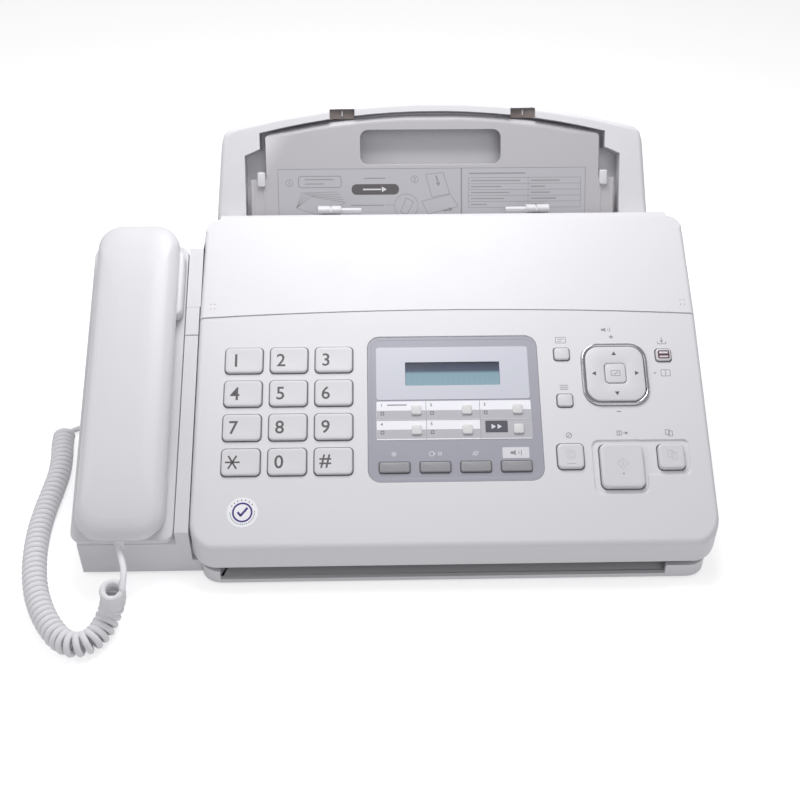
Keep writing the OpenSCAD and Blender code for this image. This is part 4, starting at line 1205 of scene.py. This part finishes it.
class FAX_OT_display(bpy.types.Operator):
    """Makes the bezel, the display with its panel, the name card and the keys on it"""

    bl_idname = "fax.display"
    bl_label = "Display and one-touch keys"

    def execute(self, context):
        bezel = softened("display_bezel", "bezel_grey", width=0.0002)
        for vertex in bezel.data.vertices:
            x, y, z = PANEL.inverted() @ vertex.co
            if z > BEZEL_FACE:
                vertex.co = PANEL @ Vector((x, y, BEZEL_SUNK + z * BEZEL_RELIEF))
        coated("lcd_module", "display_glass")
        panel = framed(87.5, 32.4, 1.6, 54.2, 14.4, 0.5, -0.6, -0.32, 0.08, 4)
        outside = [v for v in panel.verts if abs(v.co.x) > 30 or abs(v.co.y) > 9]
        bmesh.ops.translate(panel, vec=(-0.05, 0.4, 0), verts=outside)
        panel = moved(panel, (33.8, 100.6, 0))
        piece("display_panel", panel, "front_cover", "display_panel", PANEL, smooth=False)
        card = slab(87.6, 23.1, 0.8, -0.6, -0.36, at=(33.8, 72.35))
        piece("name_card", card, "front_cover", "card_stock", PANEL, smooth=False)
        strips, lines = [], []
        for place in range(6):
            top = 83.9 - 11.4 * (place // 3)
            x0, x1 = CARD_COLUMNS[place % 3]
            if place == 5:
                strips.append(bar(x0, top - 5.6, x1, top - 5.6, 11.2))
                continue
            strips.append(bar(x0, top - 8.3, x1, top - 8.3, 5.4))
            lines.append(outline(2.0, 2.0, 0.36, (x0 + 3.2, top - 7.3), 0.2))
            lines.append(numeral(str(place + 1), 1.7, (x0 + 2.8, top - 2.3)))
            if place == 0:
                lines.append(bar(x0 + 6, top - 2.2, x0 + 17, top - 2.2, 0.5))
        rules = [
            bar(18.1, 60.8, 18.1, 83.9, 0.28), bar(48.5, 60.8, 48.5, 83.9, 0.28),
            bar(-10, 72.5, 77.6, 72.5, 0.3),
        ]
        marks("card_strips", strips, "label_stock", z=-0.35)
        marks("card_rules", rules, "rule_grey", z=-0.31)
        marks("card_figures", lines, "ink", z=-0.31)
        marks("card_block", [moved(rounded_face(12.6, 7.0, 0.4), (57.6, 68.1, 0))], "block_grey", z=-0.31)
        marks("card_block_arrows", [arrow_head(1.7, (x, 68.1), 0) for x in (55.6, 59.0)], "pale_ink", z=-0.28)

        for i in range(6):
            key_piece(f"one_touch_key_{i + 1}", "touch_cap", 0.5)
        for i in range(4):
            key_piece(f"function_key_{i + 1}", "function_cap", 0.6)
        pictures = [
            bar(-1.6, 52.5, 0.6, 52.5, 0.4), bar(-0.5, 51.3, -0.5, 53.7, 0.4),
            ring(1.3, 0.36, (-0.5, 52.5), 20), ring(1.5, 0.4, (20.6, 52.5), 20),
            arrow_head(0.9, (22.2, 52.5), -90), bar(24.6, 51.4, 24.6, 53.6, 0.5),
            bar(25.8, 51.4, 25.8, 53.6, 0.5), bar(43.2, 51.4, 47.0, 53.6, 0.4),
            ring(1.3, 0.36, (45.1, 52.5), 20),
        ]
        marks("function_pictures", pictures, "pale_ink", z=-0.59)
        marks("function_panel", [moved(rounded_face(15.0, 6.4, 0.5), (67.7, 52.6, 0))], "pale_ink", z=-0.59)
        speaker = [
            bar(64.7, 52.6, 65.9, 52.6, 1.5), arrow_head(1.8, (66.7, 52.6), 180),
            bar(69.4, 51.6, 69.4, 53.6, 0.36), bar(70.7, 51.1, 70.7, 54.1, 0.36),
        ]
        marks("function_panel_picture", speaker, "soft_ink", z=-0.56)
        return {"FINISHED"}


class FAX_OT_seal(bpy.types.Operator):
    """Makes the round inspection seal on the control panel"""

    bl_idname = "fax.seal"
    bl_label = "Seal"

    def execute(self, context):
        place = PANEL @ Matrix.Translation((-83.7, 20.1, 0))
        paper = slab(17.0, 17.0, 8.4, -0.02, 0.10, segments=16)
        piece("seal_paper", paper, "front_cover", "seal_paper", place, smooth=False)
        printed("seal_disc", [ring(5.6, 1.0, segments=48)], place, "front_cover", "seal_violet", z=0.09)
        tick = [bar(-2.6, 0.2, -0.7, -2.0, 1.25), bar(-1.1, -2.1, 2.8, 2.6, 1.25)]
        printed("seal_tick", tick, place, "front_cover", "seal_violet", z=0.09)

        def on_circle(radius, degrees):
            return radius * math.cos(math.radians(degrees)), radius * math.sin(math.radians(degrees))

        dash = math.degrees(0.12)
        dots = [disc(0.36, on_circle(6.9, angle), 10) for angle in range(40, 150, 18)]
        arcs = [
            bar(*on_circle(6.7, angle), *on_circle(6.7, angle + dash), 0.36)
            for angle in range(180, 361, 10)
        ]
        printed("seal_border", dots + arcs, place, "front_cover", "seal_green", z=0.09)
        return {"FINISHED"}


# --- Paper path ---


def crown(radius, top, x):
    """The height of an arch of that radius and top, x from its middle."""
    return top - radius + math.sqrt(radius * radius - x * x)


def tray_envelope():
    """The paper tray's outside, with a full round along its front rim."""
    half = [(137.4, -30), (130.2, 48), (128.8, 53.5), (125, 57)]
    half += [(x, crown(502, 73, x)) for x in range(118, -1, -2)]
    whole = half + [(-x, y) for x, y in half[-2::-1]]
    flat = [(x * (1 + SLACK / 20), y * (1 + SLACK / 20)) for x, y in whole]

    def front_rim(edge):
        return all(v.co.z > 0 for v in edge.verts) and max(v.co.y for v in edge.verts) > 0

    return envelope(flat, -20, 1.2 + SLACK, PLATE @ Matrix.Translation((PAPER_X, 0, 0)), 3.2, front_rim)


def plate_arch(edge):
    """Whether an edge is on the front of the tension plate's rolled top."""

    def on_arch(point):
        x, y, z = PLATE.inverted() @ point
        return abs(z) < 0.05 and y > 51 and crown(460, 65.7, x - PAPER_X) - y < 1.5

    return all(on_arch(v.co) for v in edge.verts)


LABEL_LINE = 3.66  # from line to line of the label's table


def label_picture():
    """The tension plate's label: how paper is fanned and put in, and a table."""
    lines = [
        bar(-69.5, 32.6, 121.6, 32.6, 0.35), bar(-69.5, 2.0, -69.5, 32.6, 0.35),
        bar(121.6, 2.0, 121.6, 32.6, 0.35), bar(44.3, 0.0, 44.3, 32.4, 0.9),
        ring(2.3, 0.35, (-62.7, 24.2)), numeral("1", 2.6, (-62.7, 24.2)),
        ring(2.3, 0.35, (15.2, 26.0)), numeral("2", 2.6, (15.2, 26.0)),
        outline(26.9, 7.4, 0.5, (-43.7, 24.8), 1.6),
        bar(-53.0, 26.2, -35.0, 26.2, 0.6), bar(-53.0, 23.6, -41.0, 23.6, 0.6),
        bar(-16.0, 26.8, -3.0, 26.8, 0.6), bar(-24.4, 10.3, -4.0, 10.3, 0.6),
        bar(-3.0, 10.3, 2.4, 10.3, 0.3), ring(7.5, 0.3, (9.9, 9.7)),
    ]
    hold = (-58.5, 9.0)
    for i in range(5):
        bend, end = (-55.0 + 1.6 * i, 18.2 - 0.6 * i), (-32.5 + 1.1 * i, 18.6 - 1.6 * i)
        lines += [bar(*hold, *bend, 0.3), bar(*bend, *end, 0.3)]
    lines += [bar(*hold, -42.0, 3.4, 0.3), bar(-42.0, 3.4, -28.6, 12.0, 0.3)]
    sheets = (
        ((22, 29), (33, 30), (37, 17), (26, 15)),
        ((19.6, 12.6), (37.5, 16.6), (42.4, 9.2), (23.4, 4.6)),
        ((6.2, 6.0), (9.8, 14.6), (14.4, 12.2), (10.2, 4.4)),
    )
    for sheet in sheets:
        lines += [bar(*a, *b, 0.36) for a, b in zip(sheet, sheet[1:] + sheet[:1])]
    lines += [
        bar(28.6, 28.2, 29.6, 24.4, 1.0), arrow_head(1.7, (29.9, 23.2), -76),
        bar(33.0, 6.4, 36.4, 7.2, 1.0), arrow_head(1.7, (37.4, 7.5), 14),
        bar(49.0, 29.3, 84.0, 29.3, 0.8),
    ]
    lines += [bar(48.7, y, 118.8, y, 0.28) for y in (26.6 - LABEL_LINE * i for i in range(6))]
    lines += [bar(x, 8.3, x, 26.6, 0.28) for x in (48.7, 86.0, 118.8)]
    for i, (first, second) in enumerate(((31, 18), (19, 9), (24, 12), (21, 16), (10, 8))):
        y = 24.8 - LABEL_LINE * i
        lines += [bar(50.2, y, 50.2 + first, y, 0.6), bar(87.6, y, 87.6 + second, y, 0.7)]
    return lines


class FAX_OT_paper_path(bpy.types.Operator):
    """Finishes the paper tray, the tension plate with its picture label and the document guides"""

    bl_idname = "fax.paper_path"
    bl_label = "Paper path"

    def execute(self, context):
        softened("paper_tray", "housing", width=0.0006, envelope=tray_envelope())
        softened("tension_plate", "plate_plastic", wide=0.0045, wide_edge=plate_arch)
        softened("document_guide_left", "key_cap", width=0.00025)
        softened("document_guide_right", "key_cap", width=0.00025)
        lugs = [slab(4.8, 9.0, 1.2, -1.0, 2.2, 0.8, at=(PAPER_X + s * 106.2, 26.4)) for s in (-1, 1)]
        piece("plate_lugs", joined(*lugs), "tension_plate", "key_cap", PLATE)
        ribs = [
            slab(width, 40.0, 0.4, -0.2, 0.35, 0.2, at=(PAPER_X + side * x, 1.5))
            for side in (-1, 1) for x, width in ((104.6, 1.0), (111.8, 1.6))
        ]
        piece("plate_ribs", joined(*ribs), "tension_plate", "plate_plastic", PLATE)
        for side, x in (("left", PAPER_X - 55.7), ("right", PAPER_X + 55.7)):
            slot = slab(15.0, 5.5, 0.6, -2.0, -1.5, at=(x, 65.75))
            piece(f"tray_slot_{side}", slot, "back_cover", "slot_brown", PLATE, smooth=False)
            tick = slab(0.9, 3.4, 0.3, -1.6, -0.8, 0.15, at=(x, 66.1))
            piece(f"tray_slot_tick_{side}", tick, "back_cover", "label_stock", PLATE)

        sheet = slab(191.0, 44.0, 0.6, -0.02, 0.08, at=(26.05, 10.6))
        piece("label_sheet", sheet, "tension_plate", "label_stock", PLATE, smooth=False)
        printed("label_lines", label_picture(), PLATE, "tension_plate", "soft_ink", z=0.07)
        bubble = moved(rounded_face(29.5, 6.5, 3.0), (-9.3, 20.0, 0))
        printed("label_bubble", [bubble], PLATE, "tension_plate", "ink", z=0.07)
        arrow = [bar(-17.0, 20.0, -5.6, 20.0, 0.9), arrow_head(2.0, (-4.2, 20.0), 0)]
        printed("label_bubble_arrow", arrow, PLATE, "tension_plate", "pale_ink", z=0.09)
        return {"FINISHED"}


# --- Handset ---

SET_PLACE = CRADLE @ Matrix.Translation((-148.3, 100.5, 0))
SET_WIDE, SET_LONG = 47.0, 189.0
SET_LOW, SET_RISE = 10.1, 12.9  # where the back's dome starts and how far it rises
SET_TURNS = (3, 7, 12, 18, 24, 30, 36, 42, 48, 54, 60, 65, 70, 74, 78, 81, 84, 86.5, 88.5)


def handset_back():
    """A dome over the handset's outline, squarer than an ellipse and squarer still along its length."""
    shell = rounded_face(SET_WIDE, SET_LONG, 14.0, SET_LOW, 12)
    top = list(shell.faces)
    wide, long = 1.0, 1.0
    for turn in SET_TURNS:
        out, up = math.cos(math.radians(turn)), math.sin(math.radians(turn))
        narrow, short = out ** 0.615, out ** 0.357
        first = turn == SET_TURNS[0]
        made = bmesh.ops.extrude_face_region(shell, geom=top, use_keep_orig=first)["geom"]
        top = [g for g in made if isinstance(g, bmesh.types.BMFace)]
        lifted = [g for g in made if isinstance(g, bmesh.types.BMVert)]
        bmesh.ops.scale(shell, vec=(narrow / wide, short / long, 1), verts=lifted)
        for vertex in lifted:
            vertex.co.z = SET_LOW + SET_RISE * up ** 0.615
        wide, long = narrow, short
    bmesh.ops.recalc_face_normals(shell, faces=shell.faces)
    return shell


class FAX_OT_handset(bpy.types.Operator):
    """Makes the crowned handset and finishes the cradle it lies on"""

    bl_idname = "fax.handset"
    bl_label = "Handset and cradle"

    def execute(self, context):
        upper = piece(
            "handset_back", handset_back(), "handset", "handset_shell", SET_PLACE, ("handset_upper_shell",),
            sharp=60.0
        )
        upper.modifiers.new("even", "WEIGHTED_NORMAL").keep_sharp = True
        softened("handset_lower_shell", "handset_shell", width=0.0006)
        block = slab(9.0, 42.0, 4.2, 1.0, 9.6, 1.4, 0.8, at=(21.6, 59.5))
        piece("ear_block_side", block, "handset", "handset_shell", SET_PLACE)
        softened("cradle", "housing", width=0.0008)
        softened("hook_lever", "key_cap", width=0.0003)
        return {"FINISHED"}


# --- Mechanism ---


def barrel(start, end, radius, y, z, ease=0.2, rise=0.03, segments=40):
    """A cylinder along X from start to end, whose radius rises a little from its rims inwards."""
    rims = [(start, 0), (start, radius), (start + ease, radius + rise)]
    rims += [(end - ease, radius + rise), (end, radius), (end, 0)]
    return moved(turned(rims, segments), (0, y, z))


FILM = (-76.4, 129.4)  # the ends of the film on its rolls


class FAX_OT_mechanism(bpy.types.Operator):
    """Finishes the rollers, the film, the gears, the print head, the motor and the release lever"""

    bl_idname = "fax.mechanism"
    bl_label = "Mechanism"

    def execute(self, context):
        softened("platen_roller", "turned_steel", width=0.0003)
        piece("platen_rubber", barrel(-80.9, 133.9, 8.0, 98, 26), "platen", "roller_rubber")
        softened("pickup_roller", "turned_steel", width=0.0003)
        middles = [PAPER_X + x for x in (-46, 0, 46)]
        tyres = [barrel(x - 8.9, x + 8.9, 9.6, 177, 79, 0.5, 0.43) for x in middles]
        piece("pickup_tyres", joined(*tyres), "pickup", "roller_rubber")
        softened("film_supply_roll", "gear_acetal", width=0.0003)
        softened("film_takeup_roll", "gear_acetal", width=0.0003)
        supply = barrel(*FILM, 15.0, 140, 46, segments=56)
        piece("film_supply_winding", supply, "film_supply", "print_film")
        piece("film_takeup_winding", barrel(*FILM, 9.0, 62, 27), "film_takeup", "print_film")
        softened("thermal_head", "zinc_sheet", width=0.0002)
        line = slab(214.0, 2.6, 0.4, 34.35, 34.75, 0.1, at=(PAPER_X, 98))
        piece("thermal_head_line", line, "root", "chip_black")
        softened("idler_gear", "gear_acetal", width=0.00015)
        softened("drive_motor", "turned_steel", width=0.0005)
        softened("release_lever", "lever_green", width=0.0004)
        return {"FINISHED"}


BOARD_X, BOARD_Y = -70.0, 184.0  # the main board's corner
CHIPS_X = [BOARD_X + x for x in (20, 60, 110)]


class FAX_OT_boards(bpy.types.Operator):
    """Finishes the two circuit boards with their parts"""

    bl_idname = "fax.boards"
    bl_label = "Circuit boards"

    def execute(self, context):
        coated("operation_board", "circuit_board")
        coated("main_board", "circuit_board")
        chips = [slab(22.2, 22.2, 0.6, 10.5, 14.7, 0.3, at=(x + 11, BOARD_Y + 25)) for x in CHIPS_X]
        piece("board_chips", joined(*chips), "root", "chip_black")
        pins = [
            slab(0.5, 24.6, 0.1, 10.5, 11.2, at=(x + 2 + 2.0 * k, BOARD_Y + 25))
            for x in CHIPS_X
            for k in range(10)
        ]
        piece("board_chip_pins", joined(*pins), "root", "zinc_sheet", smooth=False)
        can = [(0, 0), (0, 4.05), (9.6, 4.05), (9.7, 3.8), (10.3, 3.8), (10.4, 4.0), (10.8, 3.5), (10.8, 0)]
        places = [(BOARD_X + x, BOARD_Y + y, 10.4) for x, y in ((10, 10), (10, 24), (52, 10), (100, 44))]
        cans = [moved(moved(turned(can, 24), turn=-90, axis="Y"), place) for place in places]
        piece("board_capacitors", joined(*cans), "root", "chip_black")
        plugs_x = [BOARD_X + x for x in (35, 67, 127)]
        plugs = [slab(22.2, 6.2, 0.3, 10.5, 16.8, 0.2, at=(x, BOARD_Y + 47)) for x in plugs_x]
        piece("board_connectors", joined(*plugs), "root", "card_stock", smooth=False)
        return {"FINISHED"}


class FAX_OT_sockets(bpy.types.Operator):
    """Finishes the rear sockets and the feet"""

    bl_idname = "fax.sockets"
    bl_label = "Sockets and feet"

    def execute(self, context):
        softened("rear_jacks", "socket_black", width=0.0002)
        softened("rubber_feet", "rubber", width=0.0005)
        pin = [(0, 0), (0, 1.2), (8.5, 1.2), (9.6, 0.6), (9.6, 0)]
        pins = [moved(turned(pin, 16), (x, 240.0, 29.6), 90) for x in (-86.5, -77.5)]
        piece("power_pins", joined(*pins), "root", "turned_steel")
        contacts = [
            slab(0.6, 7.0, 0.1, 27.2, 27.7, at=(x + 1.4 * k, 244.0))
            for x in (-46.3, -28.3)
            for k in range(4)
        ]
        piece("line_contacts", joined(*contacts), "root", "gold_contact", smooth=False)
        return {"FINISHED"}


# --- Panel and registration ---

OPERATORS = (
    FAX_OT_stage, FAX_OT_cord, FAX_OT_covers, FAX_OT_number_keys, FAX_OT_command_keys, FAX_OT_navigation,
    FAX_OT_display, FAX_OT_seal, FAX_OT_paper_path, FAX_OT_handset, FAX_OT_mechanism, FAX_OT_boards,
    FAX_OT_sockets
)


class FAX_PT_panel(bpy.types.Panel):
    """Lists the sizes, the colours and the steps"""

    bl_idname = "FAX_PT_panel"
    bl_label = "Fax machine"
    bl_space_type = "VIEW_3D"
    bl_region_type = "UI"
    bl_category = "Fax"

    def draw(self, context):
        for group in (context.scene.fax_sizes, context.scene.fax_colours):
            box = self.layout.box()
            for name in group.bl_rna.properties.keys():
                if name not in ("rna_type", "name"):
                    box.prop(group, name)
        for operator in OPERATORS:
            self.layout.operator(operator.bl_idname)


CLASSES = (FAX_PG_colours, FAX_PG_sizes, *OPERATORS, FAX_PT_panel)


def register():
    for cls in CLASSES:
        bpy.utils.register_class(cls)
    bpy.types.Scene.fax_colours = bpy.props.PointerProperty(type=FAX_PG_colours)
    bpy.types.Scene.fax_sizes = bpy.props.PointerProperty(type=FAX_PG_sizes)


def unregister():
    del bpy.types.Scene.fax_sizes
    del bpy.types.Scene.fax_colours
    for cls in reversed(CLASSES):
        bpy.utils.unregister_class(cls)


def main():
    register()
    make_grain_group()
    make_brushed_group()
    for operator in OPERATORS:
        group, name = operator.bl_idname.split(".")
        getattr(getattr(bpy.ops, group), name)()


if __name__ == "__main__":
    main()
